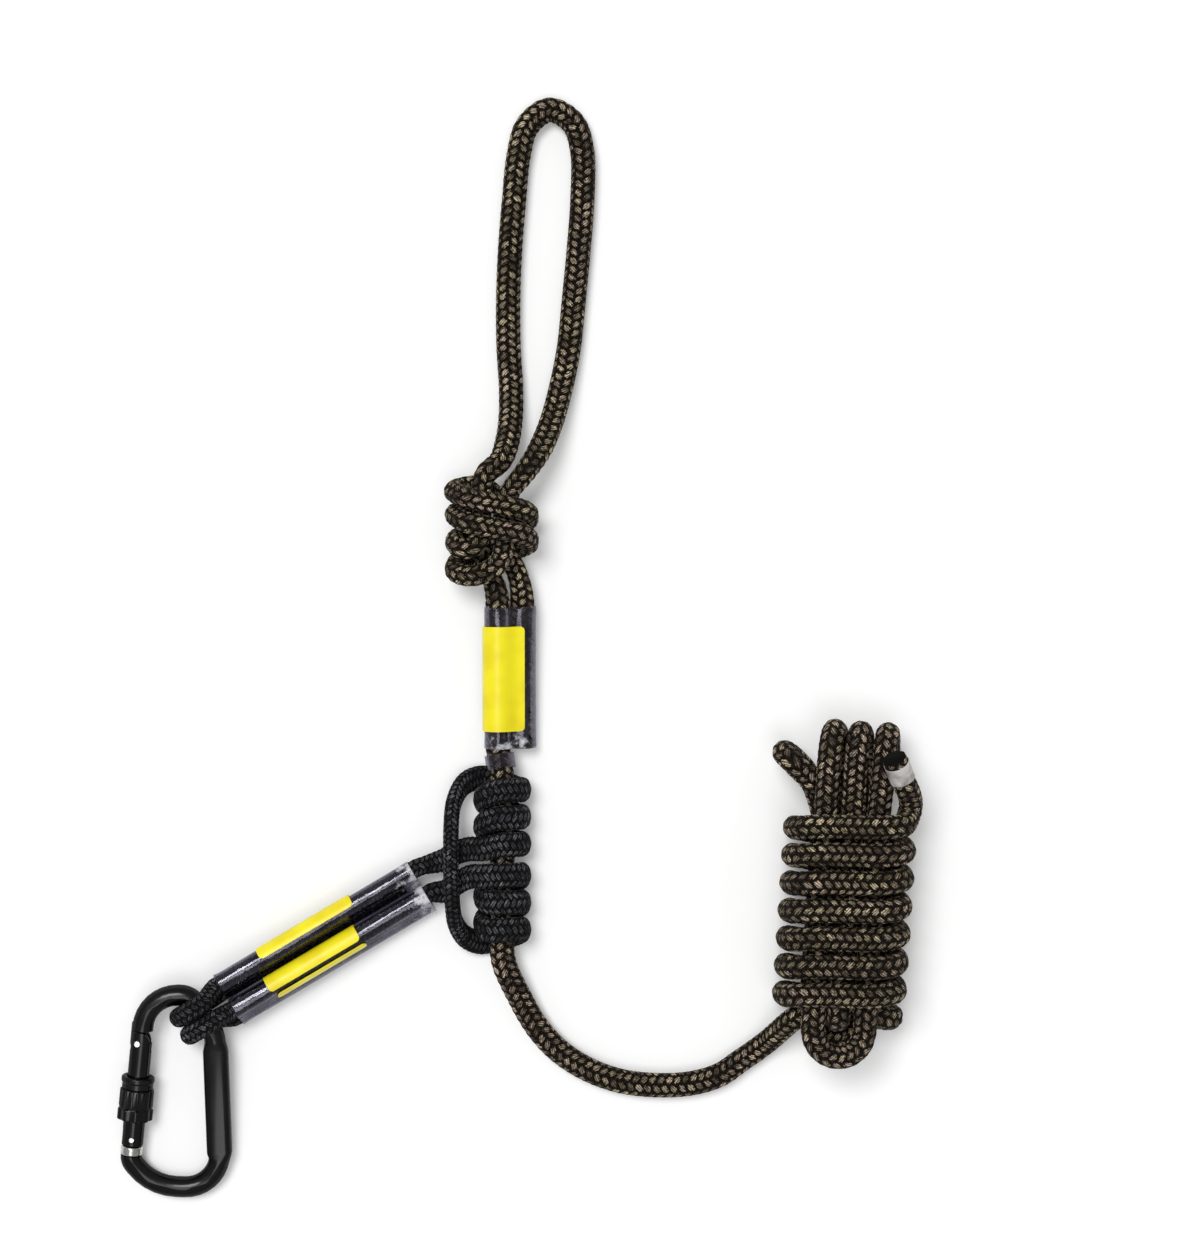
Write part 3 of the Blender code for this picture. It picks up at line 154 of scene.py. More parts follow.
# Hank
HANK_CENTRE = Vector((162.0, -126.5, 30.2)) * MM
HANK_PRESS = 0.96
HANK_LEAN = math.radians(-3.8)
HANK_STRAND = ROPE_DIAMETER + 0.7 * MM
HANK_ROW = ROPE_DIAMETER - 1.0 * MM
HANK_MIDDLE = 6.75 * MM
WRAP_HALF_WIDTH = 2.22 * ROPE_DIAMETER
WRAP_HALF_DEPTH = 2.11 * ROPE_DIAMETER
WRAP_SQUARENESS = 3.8
WRAP_PITCH = 14.2 * MM
WRAP_BOTTOM = -43.5 * MM
WRAP_RANGE = (-0.6, 6.17)
STRAIGHT_RUN = 8.0 * MM
TAPE_LENGTH = 10.6 * MM
TAPE_LAP = 0.12 * MM
TAPE_SKEW = 0.5 * MM
TAPE_INSIDE = 0.965
TAPE_ROWS = 22
TAPE_SIDES = 64
ROPE_TIP = 13.9 * MM

# How finely the cords' skins are made, and how soon the cords take their pressed size
LINE_SIDES = 48
HANK_SIDES = 40
CORD_SIDES = 36
HANK_ROWS_KEPT = 0.72
HANK_PRESS_ROWS = 25
HITCH_PRESS_RUN = 12.0 * MM

# Flecks in the braid: how fine their clumps, patches and hues are, and how ragged their edge
CLUMP_SCALE = 950.0
PATCH_SCALE = 75.0
HUE_SCALE = 0.13
RAGGEDNESS = 4.4

# Film and labels
FILM_EASE = 0.3 * MM
FILM_THICKNESS = 0.25 * MM
FILM_ROW = 0.9 * MM
FILM_SIDES = (24, 12, 24, 12)
RIDGE_RADIUS = 5.5 * MM
RUFFLE_REACH = 2.2 * MM
RUFFLE_RUN = 2.4 * MM
# How far from a sleeve's ends its milky white, partly a painted reflection, fades out
FROST_AND_PAINTED_GLARE_REACH = 13.0 * MM
LABEL_THICKNESS = 0.28 * MM
LABEL_CORNER = 2.2 * MM
LABEL_DIP = 0.5
LABEL_STEPS = 36
LABEL_ROWS = 60

# Camera and light: a lamp is its tilt, its bearing, its width and its strength
CAMERA_LENS = 100.0
CAMERA_SENSOR = 36.0
CAMERA_PLACE = (0.04087, 0.01194, 1.7333)
KEY_LAMP = (20.0, 130.0, 24.0, 1.6)
FILL_LAMP = (13.0, 270.0, 28.0, 0.6)
WORLD_LEVEL = 0.35
FLOOR_GLOW = 0.1
FLOOR_HALF = 9.0
FLOOR_DROP = 0.0002


def add(name, data):
    """Object of the scene for a mesh, a lamp or the camera."""
    made = bpy.data.objects.new(name, data)
    bpy.context.scene.collection.objects.link(made)
    return made


# Camera: straight down, the layout's +Y up


def make_camera():
    data = bpy.data.cameras.new("camera")
    data.lens = CAMERA_LENS
    data.sensor_width = CAMERA_SENSOR
    data.clip_start = 0.01
    camera = add("camera", data)
    camera.location = CAMERA_PLACE
    bpy.context.scene.camera = camera


make_camera()


# Routes


def mm(points):
    """Points in millimetres as vectors in metres."""
    return [Vector(point) * MM for point in points]


def smooth(points, step=1.0 * MM):
    """Centripetal Catmull-Rom curve through a route's points."""
    route = [Vector(point) for point in points]
    route = [2 * route[0] - route[1]] + route + [2 * route[-1] - route[-2]]
    curve = []
    for first, start, end, last in zip(route, route[1:], route[2:], route[3:]):
        knots = [0.0]
        for near, far in ((first, start), (start, end), (end, last)):
            knots.append(knots[-1] + math.sqrt((far - near).length))
        count = max(2, int((end - start).length / step) + 1)
        for index in range(count):
            at = knots[1] + (knots[2] - knots[1]) * index / count
            one = first.lerp(start, (at - knots[0]) / (knots[1] - knots[0]))
            two = start.lerp(end, (at - knots[1]) / (knots[2] - knots[1]))
            three = end.lerp(last, (at - knots[2]) / (knots[3] - knots[2]))
            four = one.lerp(two, (at - knots[0]) / (knots[2] - knots[0]))
            five = two.lerp(three, (at - knots[1]) / (knots[3] - knots[1]))
            curve.append(four.lerp(five, (at - knots[1]) / (knots[2] - knots[1])))
    curve.append(route[-2])
    return curve


def evenly(curve, step):
    """The curve read at equal steps, as an array."""
    rows = np.array([tuple(point) for point in curve])
    lengths = np.linalg.norm(np.diff(rows, axis=0), axis=1)
    along = np.concatenate([[0.0], np.cumsum(lengths)])
    places = np.linspace(0.0, along[-1], int(along[-1] / step) + 2)
    return np.stack([np.interp(places, along, rows[:, axis]) for axis in range(3)], axis=1)


def softened(rows, reach=3):
    """Rows averaged with their neighbours, both ends kept straight."""
    before = rows[0] + (rows[0] - rows[1]) * np.arange(reach, 0, -1)[:, None]
    after = rows[-1] + (rows[-1] - rows[-2]) * np.arange(1, reach + 1)[:, None]
    full = np.concatenate([before, rows, after])
    weights = np.hanning(2 * reach + 3)[1:-1]
    weights /= weights.sum()
    return np.stack([np.convolve(full[:, axis], weights, "valid") for axis in range(3)], axis=1)


def wrap_turns(start, end, count):
    """Equally spaced turns from one to another."""
    return [start + (end - start) * index / (count - 1) for index in range(count)]


def knot(x, y, z):
    """Place in the knot, in strand pitches from its centre."""
    return KNOT_CENTRE + KNOT_PITCH * Vector((x, y, z))


def knot_press(y):
    """Share of its free diameter that the rope keeps, pulled tight in the knot."""
    return np.interp(y, KNOT_REACH, (1.0, KNOT_PRESS, KNOT_PRESS, 1.0))


def knot_wrap(turn, top):
    """Rounded square about the core; turn 0 is the left side and a quarter turn the front."""
    side = 2 * KNOT_CORE_HALF
    quarter = side + KNOT_WRAP_OUT * math.pi / 2
    corner, run = divmod((turn % 1.0) * 4 * quarter + KNOT_CORE_HALF, quarter)
    if run < side:
        out = KNOT_CORE_HALF + KNOT_WRAP_OUT
        across = run - KNOT_CORE_HALF
    else:
        angle = (run - side) / KNOT_WRAP_OUT
        out = KNOT_CORE_HALF + KNOT_WRAP_OUT * math.cos(angle)
        across = KNOT_CORE_HALF + KNOT_WRAP_OUT * math.sin(angle)
    bearing = corner * math.pi / 2
    x = -out * math.cos(bearing) + across * math.sin(bearing)
    z = out * math.sin(bearing) + across * math.cos(bearing)
    return knot(x, top - 2 * KNOT_WRAP_STEP * turn, z)


def splice_along():
    return Vector((0.0, math.cos(SPLICE_TILT), math.sin(SPLICE_TILT)))


def splice_strand(side, along):
    """Centre of one of the two strands in the wide sleeve, so far up from its lower end."""
    tilt = Matrix.Rotation(SPLICE_TILT, 3, "X")
    across = tilt @ Vector((side * SPLICE_HALF.x, 0.0, side * SPLICE_HALF.y))
    return SPLICE_START + across + splice_along() * along


def loop_route():
    """Tail strand, knot, loop and knot again, down to the wide sleeve."""
    route = [splice_strand(1, along * MM) for along in (0.0, 4.0, 36.0, 68.0, 72.0)]
    route += mm([(2.7, 28, 12.6), (0.6, 37, 13.8)])
    route += [knot(0.545, -0.75, -0.46), knot(0.51, 0, -0.49), knot(0.5, 0.75, -0.52)]
    route += [knot(0.16, 1.5, -0.55), knot(-0.7, 1.95, -0.6), knot(-1.45, 1.84, -0.35)]
    route.append(knot(-1.66, 1.68, 0.3))
    route += [knot_wrap(turn, KNOT_WRAP_TOP + KNOT_WRAP_STEP) for turn in wrap_turns(0.14, 0.95, 14)]
    route += [knot(-1.62, -0.53, 0.05), knot(-1.35, -0.8, 0.68), knot(-0.78, -0.72, 0.78)]
    route += [knot(-0.5, -0.05, 0.5), knot(-0.5, 0.7, 0.5), knot(-0.48, 1.6, 0.5)]
    route.append(knot(-0.3, 2.4, 0.5))
    route += mm([
        (-7.6, 92, 23.5), (-4.2, 102, 17), (-2.6, 115, 10.5), (-2.6, 130, 7.2), (-3.8, 149, 6.3),
        (-4, 174, 6.3), (-3, 199, 6.3), (-1, 224, 6.3), (1.2, 245, 6.3), (5.6, 260, 6.3),
        (16.6, 267.9, 6.3), (28.2, 261.5, 6.3), (32.8, 248, 6.3), (33, 224, 6.3), (31.2, 199, 6.3),
        (28.8, 174, 6.3), (26.2, 149, 6.8), (21.8, 127, 9.5), (17, 110, 14), (11.5, 97, 20.5),
        (4.5, 86, 26),
    ])
    route += [knot(0.78, 1.7, 0.5), knot(0.52, 1.0, 0.5), knot(0.5, 0.2, 0.5), knot(0.5, -0.6, 0.58)]
    route += [knot(0.38, -1.3, 0.75), knot(-0.25, -1.85, 0.92), knot(-1.05, -1.99, 0.7)]
    route.append(knot(-1.62, -1.78, 0.05))
    route += [knot_wrap(turn, KNOT_WRAP_TOP) for turn in wrap_turns(0.95, 0.14, 14)]
    route += [knot(-1.62, 0.66, 0.3), knot(-1.5, 0.78, -0.3), knot(-1.05, 0.72, -0.55)]
    route += [knot(-0.58, 0.15, -0.5), knot(-0.51, -0.65, -0.48)]
    route += mm([(-13.9, 39.5, 16.5), (-10, 29.5, 17.6)])
    return route + [splice_strand(-1, along * MM) for along in (72.0, 68.0, 27.0, 4.0, -0.5)]


def standing_route():
    """From below the wide sleeve through the hitch and round the bend to the hank."""
    x = HITCH_CENTRE.x / MM
    z = HITCH_CENTRE.z / MM
    return mm([
        (-7.9, -56, 12.9), (-7.05, -62.5, 13.6), (x, -67, z), (x, -76, z), (x, -130, z), (x, -146, z),
        (x, -151.5, z), (-5.6, -157.5, 13.7), (-2.7, -164.5, 12.5), (1.2, -172.5, 10.6),
        (5.8, -181.5, 8.8), (12, -191, 7.4), (21.5, -201, 6.7), (35.5, -210, 6.45),
        (52.5, -216, 6.45), (72.3, -218, 6.45), (88.5, -216.8, 6.4),
    ])


def hank_to_world(point):
    return HANK_CENTRE + Matrix.Rotation(HANK_LEAN, 4, "Z") @ Vector(point)


def column(place, start, end):
    """Straight strand of the hank between two heights."""
    lead = STRAIGHT_RUN if end > start else -STRAIGHT_RUN
    heights = (start, start + lead, (start + end) / 2, end - lead, end)
    return [Vector((place[0], height, place[1])) for height in heights]


def bight(first, second, height, depth, steps=6):
    """Half round from one strand place to another."""
    first = Vector(first)
    second = Vector(second)
    middle = (first + second) / 2
    half = (first - second) / 2
    points = []
    for index in range(steps + 1):
        angle = math.pi * index / steps
        place = middle + half * math.cos(angle)
        points.append(Vector((place.x, height + depth * math.sin(angle), place.y)))
    return points


def hank_wrap(turn):
    """Point on the wraps, squared off by the strands they bind."""
    angle = 2 * math.pi * turn
    power = 2.0 / WRAP_SQUARENESS
    x = WRAP_HALF_WIDTH * math.copysign(abs(math.sin(angle)) ** power, math.sin(angle))
    z = WRAP_HALF_DEPTH * math.copysign(abs(math.cos(angle)) ** power, math.cos(angle))
    return Vector((x, WRAP_BOTTOM + WRAP_PITCH * turn, z))


def hank_route():
    """Eight strands up and down, then the wraps from the bottom up and the end at the top."""
    across = HANK_STRAND
    row = HANK_ROW
    low = -39.0 * MM
    high = 43.0 * MM
    front = [(-across, row), (0.0, row), (across, row)]
    back = [(-across, -row), (0.0, -row), (across, -row)]
    back_low = row + 1.4 * MM
    front_low = row + 3.0 * MM
    route = mm([(-47, -86, -24.6), (-40, -80.5, -24.6), (-33, -74, -22), (-28, -67.5, -13.5)])
    route += mm([(-23, -61, -4), (-16.4, -55, 0.6), (-9.8, -48.5, 0.2)])
    route += column((-HANK_MIDDLE, 0.0), low, 40.0 * MM)
    route += mm([(-9, 50, 0), (-16, 57.5, 0.5), (-24, 65, 3.8), (-31.5, 71.5, 4.6), (-36, 76, -4.5)])
    route += mm([(-31.5, 74, -13.8), (-23, 66, -15.6), (-17.3, 56, -13.7)])
    route += column(back[0], high, low)
    route += bight((-across, -back_low), (across, -back_low), -56.0 * MM, -14.0 * MM)
    route += column(back[2], low, high) + mm([(15.6, 57, -12.3)])
    behind = (across + 5.0 * MM, -row - 1.2 * MM)
    route += bight(behind, (across + 1.2 * MM, row + 0.5 * MM), 74.0 * MM, 15.0 * MM)
    route += column(front[2], high, -41.0 * MM) + mm([(13.2, -53, 14.3)])
    route += bight((across, front_low), (-across, front_low), -62.0 * MM, -14.0 * MM)
    route += mm([(-13.2, -53.5, 14.3)]) + column(front[0], -40.0 * MM, high) + mm([(-13.7, 57, 14.1)])
    left = (-across - 0.5 * MM, row + 1.5 * MM)
    route += bight(left, (-8.0 * MM, -row - 2.6 * MM), 74.0 * MM, 15.0 * MM)
    route += mm([(-3.0, 58, -13.1)]) + column(back[1], high, -38.0 * MM)
    route += bight(back[1], front[1], -46.5 * MM, -12.0 * MM)
    route += column(front[1], -38.0 * MM, high) + mm([(0, 60, 12)])
    route += bight((0.0, row + 0.5 * MM), (4.4 * MM, -6.8 * MM), 76.0 * MM, 13.0 * MM)
    route += mm([(5.8, 60, -3.2)]) + column((HANK_MIDDLE, 0.0), high, -40.0 * MM)
    route += mm([(10.2, -49.6, 0.35), (17.5, -54.4, 0.2), (24.8, -56.8, -4), (28.6, -56.2, -12)])
    count = int((WRAP_RANGE[1] - WRAP_RANGE[0]) * COIL_STEPS) + 1
    route += [hank_wrap(turn) for turn in wrap_turns(*WRAP_RANGE, count)]
    route += mm([(29.6, 50.5, 5), (29.4, 55.5, 9), (27.2, 60.8, 16), (24.2, 65.5, 21.8), (23.4, 67, 22.9)])
    return [hank_to_world(point * HANK_PRESS) for point in route]


def rope_route():
    """The whole rope, and where it enters the hank and reaches its tape."""
    hank = hank_route()
    entry = (hank[1] - hank[0]).normalized()
    outward = (hank[-1] - hank[-2]).normalized()
    route = loop_route() + standing_route() + [hank[0] - entry * 12.0 * MM]
    tip = hank[-1] + outward * ROPE_TIP
    return route + hank + [tip], hank[0], hank[-1], outward


# Friction hitch, before it is drawn out along the rope


def coil_radius():
    return (ROPE_DIAMETER + PRESSED_CORD) / 2 + TOUCH_GAP


def hitch(x, y, z):
    """Place from the hitch's centre, drawn out along the rope."""
    return HITCH_CENTRE + Vector((x, y, z)) * MM


def hitch_coil(turn, side):
    """Point on the turns of one side, counted from the front where the leg comes in."""
    angle = 2 * math.pi * turn
    whole, part = divmod(turn, 1.0)
    first, last = UPPER_RISE if side > 0 else LOWER_RISE
    rise = min(1.0, max(0.0, (part - first) / (last - first)))
    along = side * HITCH_PITCH * (0.5 + whole + rise)
    if side < 0:
        along -= HITCH_PARTING
    radius = coil_radius()
    return HITCH_CENTRE + Vector((radius * math.sin(angle), along, radius * math.cos(angle)))


def hitch_route():
    """Leg, three turns, the bridge over both legs, three turns and the other leg."""
    turns = wrap_turns(0.0, HITCH_TURNS, int(HITCH_TURNS * COIL_STEPS) + 1)
    route = [hitch(-27.5, -0.4, -1.2), hitch(-22.5, 2.4, 0.2), hitch(-16, 4.5, 4.8)]
    route.append(hitch(-8.5, 4.8, 9.3))
    route += [hitch_coil(turn, 1) for turn in turns]
    route += [hitch(-6, 38.7, -10.7), hitch(-12.5, 39, -9.2), hitch(-19.5, 35.8, -4.4)]
    route += [hitch(-24, 27, 2), hitch(-25, 15, 7.6), hitch(-25, 3, 9.6), hitch(-25, -8, 9.8)]
    route += [hitch(-24.4, -22, 7.6), hitch(-23.2, -32, 2), hitch(-18.8, -39.6, -4.4)]
    route += [hitch(-12, -42.9, -9.2), hitch(-6, -42.5, -10.7)]
    route += [hitch_coil(turn, -1) for turn in reversed(turns)]
    route += [hitch(-8.5, -8.55, 9.35), hitch(-16, -9.3, 4.9), hitch(-22.5, -13, 0.2)]
    route.append(hitch(-26.8, -15.8, -1.2))
    return route


# Tether


def tether_turn():
    return Matrix.Rotation(TETHER_ANGLE, 4, "Z") @ Matrix.Rotation(-TETHER_PITCH, 4, "Y")


def tether_to_world(point):
    return TETHER_PIVOT + tether_turn() @ Vector(point)


def strand_half():
    """Half the step from the top strand to the one below it, across and down."""
    return Vector((math.sin(STRAND_ROLL), -math.cos(STRAND_ROLL))) * STRAND_PITCH / 2


def bar_centre(lateral):
    """Point of the bar's centre line so far across the tether, in the tether's frame."""
    flat = Matrix.Rotation(TETHER_ANGLE, 4, "Z") @ Vector((EYE_REACH, 0.0, 0.0))
    place = Vector((TETHER_PIVOT.x + flat.x, TETHER_PIVOT.y + flat.y, CARABINER_HEIGHT))
    to_tether = tether_turn().to_3x3().inverted()
    centre = to_tether @ (place - TETHER_PIVOT)
    along_bar = Matrix.Rotation(CARABINER_TILT, 3, "X") @ (TOP_CORNERS[0] - TOP_CORNERS[1])
    along_bar = to_tether @ along_bar
    return centre + along_bar * (lateral - centre.y) / along_bar.y


def eye_route(side):
    """Core from the leg, the eye round the bar and the tail back under the core."""
    lateral = -side * TETHER_SPACING / 2
    half = strand_half()
    end = SLEEVE_START + SLEEVE_LENGTH
    near = (SLEEVE_START - LEG_LEAD, SLEEVE_START, (SLEEVE_START + end) / 2)
    far = (end - 4.0 * MM, end, end + 2.0 * MM)
    high = [Vector((x, lateral - half.x, -half.y)) for x in near + far]
    radius = BAR_RADIUS + EYE_PLAY + CORD_DIAMETER / 2
    loop = []
    steps = 14
    for index in range(steps + 1):
        share = index / steps
        angle = EYE_ARC[0] + (EYE_ARC[1] - EYE_ARC[0]) * share
        middle = bar_centre(-side * EYE_LATERAL + EYE_LEAN * (2 * share - 1))
        loop.append(middle + radius * Vector((math.cos(angle), 0.0, math.sin(angle))))
    tail = SLEEVE_START + TAIL_SET_BACK
    back = ((tail + end) / 2, tail + 4.0 * MM, tail)
    low = [Vector((x, lateral + half.x, half.y)) for x in far[::-1] + back]
    return [tether_to_world(point) for point in high + loop + low]


def tether_cord_route():
    """Upper tail, eye and core, the leg and the hitch, and the same back to the lower tail."""
    middle = hitch_route()
    leave_up = (middle[0] - middle[1]).normalized() * LEG_LEAD
    leave_low = (middle[-1] - middle[-2]).normalized() * LEG_LEAD
    route = eye_route(1)[::-1] + [middle[0] + leave_up] + middle
    return route + [middle[-1] + leave_low] + eye_route(-1), middle[0], middle[-1]


# Skins


def transported(tangents, first):
    """Normals carried along the tangents without twist, and the third axis."""
    normals = np.empty_like(tangents)
    normal = np.array(first, float)
    for index, tangent in enumerate(tangents):
        normal = normal - tangent * normal.dot(tangent)
        normal /= np.linalg.norm(normal)
        normals[index] = normal
    return normals, np.cross(tangents, normals)


def braid(turns, runs):
    """Crown height of the braid, 1 on a strand and 0 in a groove; strands go over two, under two."""
    one = STRANDS * turns + runs
    two = STRANDS * turns - runs
    row = np.mod(np.floor(one) + np.floor(two), 4.0)
    top = row < 1.5
    across = np.where(top, one - np.floor(one), two - np.floor(two))
    other = np.where(top, two - np.floor(two), one - np.floor(one))
    along = (row - np.where(top, 0.0, 2.0) + other) / 2
    ridge = 1.0 - np.abs(2 * across - 1) ** 2.4
    return ridge * (1.0 - 0.75 * np.abs(2 * along - 1) ** 3.0)


def skin_of_rings(name, rings, runs):
    """Tube skin from an array of rings, closed at both ends, mapped by turn and run."""
    rows, count, _ = rings.shape
    index = np.arange(rows * count).reshape(rows, count)
    following = np.roll(index, -1, axis=1)
    quads = np.stack([index[:-1], following[:-1], following[1:], index[1:]], axis=-1).reshape(-1, 4)
    mesh = bpy.data.meshes.new(name)
    faces = quads.tolist() + [index[0][::-1].tolist(), index[-1].tolist()]
    mesh.from_pydata(rings.reshape(-1, 3).tolist(), [], faces)
    turns = np.arange(count) / count
    ahead = turns + 1.0 / count
    u = np.broadcast_to(np.stack([turns, ahead, ahead, turns], axis=-1), (rows - 1, count, 4))
    v = np.stack([runs[:-1], runs[:-1], runs[1:], runs[1:]], axis=-1)[:, None, :]
    v = np.broadcast_to(v, (rows - 1, count, 4))
    flat = np.stack([u, v], axis=-1).reshape(-1, 2)
    first = np.zeros((count, 2))
    last = np.zeros((count, 2))
    layer = mesh.uv_layers.new(name="run")
    layer.data.foreach_set("uv", np.concatenate([flat, first, last]).astype(np.float32).ravel())
    mesh.polygons.foreach_set("use_smooth", np.ones(len(mesh.polygons), bool))
    mesh.update()
    return add(name, mesh)


def cord_skin(name, rows, normals, sides_axes, radii, runs, relief, count, draws=()):
    """Braided tube about the rows, flat where it lies.

    Each draw is an axis and, for each ring, a factor along it.
    """
    turns = np.arange(count) / count
    height = braid(turns[None, :], runs[:, None])
    reach = radii[:, None] - relief * (1.0 - height)
    angle = 2 * math.pi * turns
    offset = (np.cos(angle)[None, :, None] * normals[:, None, :]
              + np.sin(angle)[None, :, None] * sides_axes[:, None, :]) * reach[:, :, None]
    for axis, factors in draws:
        offset += (offset @ axis * (factors - 1.0)[:, None])[:, :, None] * axis
    rings = rows[:, None, :] + offset + np.array(LAYOUT_SHIFT)
    rings[:, :, 2] = np.maximum(rings[:, :, 2], 0.0)
    return skin_of_rings(name, rings, runs)


def nearest(rows, point):
    return int(np.linalg.norm(rows - np.array(point), axis=1).argmin())


# Materials


class Look:
    """A material, with short ways to write its nodes."""

    def __init__(self, name):
        self.material = bpy.data.materials.new(name)
        self.material.use_nodes = True
        self.tree = self.material.node_tree
        self.shader = self.tree.nodes["Principled BSDF"]

    def node(self, kind, **values):
        made = self.tree.nodes.new(kind)
        for key, value in values.items():
            setattr(made, key, value)
        return made

    def place(self):
        """Place on the piece."""
        return self.node("ShaderNodeTexCoord").outputs["Object"]

    def join(self, value, socket):
        if isinstance(value, bpy.types.NodeSocket):
            self.tree.links.new(value, socket)
        else:
            socket.default_value = value

    def filled(self, made, *values):
        """Output of a node whose first inputs take these values."""
        for value, socket in zip(values, made.inputs):
            self.join(value, socket)
        return made.outputs[0]

    def calc(self, operation, *values, clamp=False):
        return self.filled(self.node("ShaderNodeMath", operation=operation, use_clamp=clamp), *values)

    def plus(self, one, two):
        return self.calc("ADD", one, two)

    def minus(self, one, two):
        return self.calc("SUBTRACT", one, two)

    def times(self, one, two):
        return self.calc("MULTIPLY", one, two)

    def scaled(self, value, factor, added):
        return self.calc("MULTIPLY_ADD", value, factor, added)

    def from_middle(self, share):
        """How far a share from 0 to 1 is from its middle: 1 at both ends."""
        return self.calc("ABSOLUTE", self.scaled(share, 2.0, -1.0))

    def ramp(self, value, low, high, start=0.0, end=1.0, smooth=True):
        made = self.node("ShaderNodeMapRange", interpolation_type="SMOOTHSTEP" if smooth else "LINEAR")
        return self.filled(made, value, low, high, start, end)

    def mix(self, share, first, second):
        made = self.node("ShaderNodeMix", data_type="RGBA")
        self.join(share, made.inputs[0])
        self.join(first, made.inputs[6])
        self.join(second, made.inputs[7])
        return made.outputs[2]

    def vector(self, x, y, z=0.0):
        return self.filled(self.node("ShaderNodeCombineXYZ"), x, y, z)

    def noise(self, vector, scale, detail=2.0, roughness=0.5):
        made = self.node("ShaderNodeTexNoise")
        self.join(vector, made.inputs["Vector"])
        for name, value in (("Scale", scale), ("Detail", detail), ("Roughness", roughness)):
            made.inputs[name].default_value = value
        return made.outputs[0]

    def scatter(self, vector):
        return self.filled(self.node("ShaderNodeTexWhiteNoise", noise_dimensions="3D"), vector)

    def mix_shaders(self, share, first, second):
        return self.filled(self.node("ShaderNodeMixShader"), share, first, second)

    def bump(self, height, distance):
        made = self.node("ShaderNodeBump")
        made.inputs["Strength"].default_value = 1.0
        made.inputs["Distance"].default_value = distance
        self.join(height, made.inputs["Height"])
        self.join(made.outputs[0], self.shader.inputs["Normal"])

    def set(self, **values):
        for key, value in values.items():
            self.join(value, self.shader.inputs[key.replace("_", " ")])


def colour(red, green, blue):
    """A colour from 0 to 255 values as light."""
    parts = []
    for value in (red, green, blue):
        share = value / 255
        parts.append(share / 12.92 if share <= 0.04045 else ((share + 0.055) / 1.055) ** 2.4)
    return (*parts, 1.0)


def strand_on_top(look):
    """Run along the cord, and the top strand's places across and along it, number and step.

    Strands wound the other way have numbers of their own.
    """
    uv = look.node("ShaderNodeUVMap", uv_map="run").outputs[0]
    parts = look.node("ShaderNodeSeparateXYZ")
    look.join(uv, parts.inputs[0])
    turn, run = parts.outputs[0], parts.outputs[1]
    around = look.times(turn, float(STRANDS))
    one = look.plus(around, run)
    two = look.minus(around, run)
    one_index = look.calc("FLOOR", one)
    two_index = look.calc("FLOOR", two)
    row = look.calc("FLOORED_MODULO", look.plus(one_index, two_index), 4.0)
    top = look.calc("LESS_THAN", row, 1.5)
    low = look.minus(1.0, top)
    one_part = look.calc("FRACT", one)
    two_part = look.calc("FRACT", two)

    def upper(first, second):
        """The first way's value where it is on top, and the second's elsewhere."""
        return look.plus(look.times(top, first), look.times(low, second))

    across = upper(one_part, two_part)
    other = upper(two_part, one_part)
    step = look.minus(row, look.times(low, 2.0))
    along = look.times(look.plus(step, other), 0.5)
    strand = look.calc("FLOORED_MODULO", upper(one_index, two_index), float(STRANDS))
    strand = look.plus(strand, look.times(low, STRANDS + 3.0))
    place = look.minus(one_index, two_index)
    place = look.plus(place, look.times(step, look.minus(top, low)))
    return run, across, along, strand, place


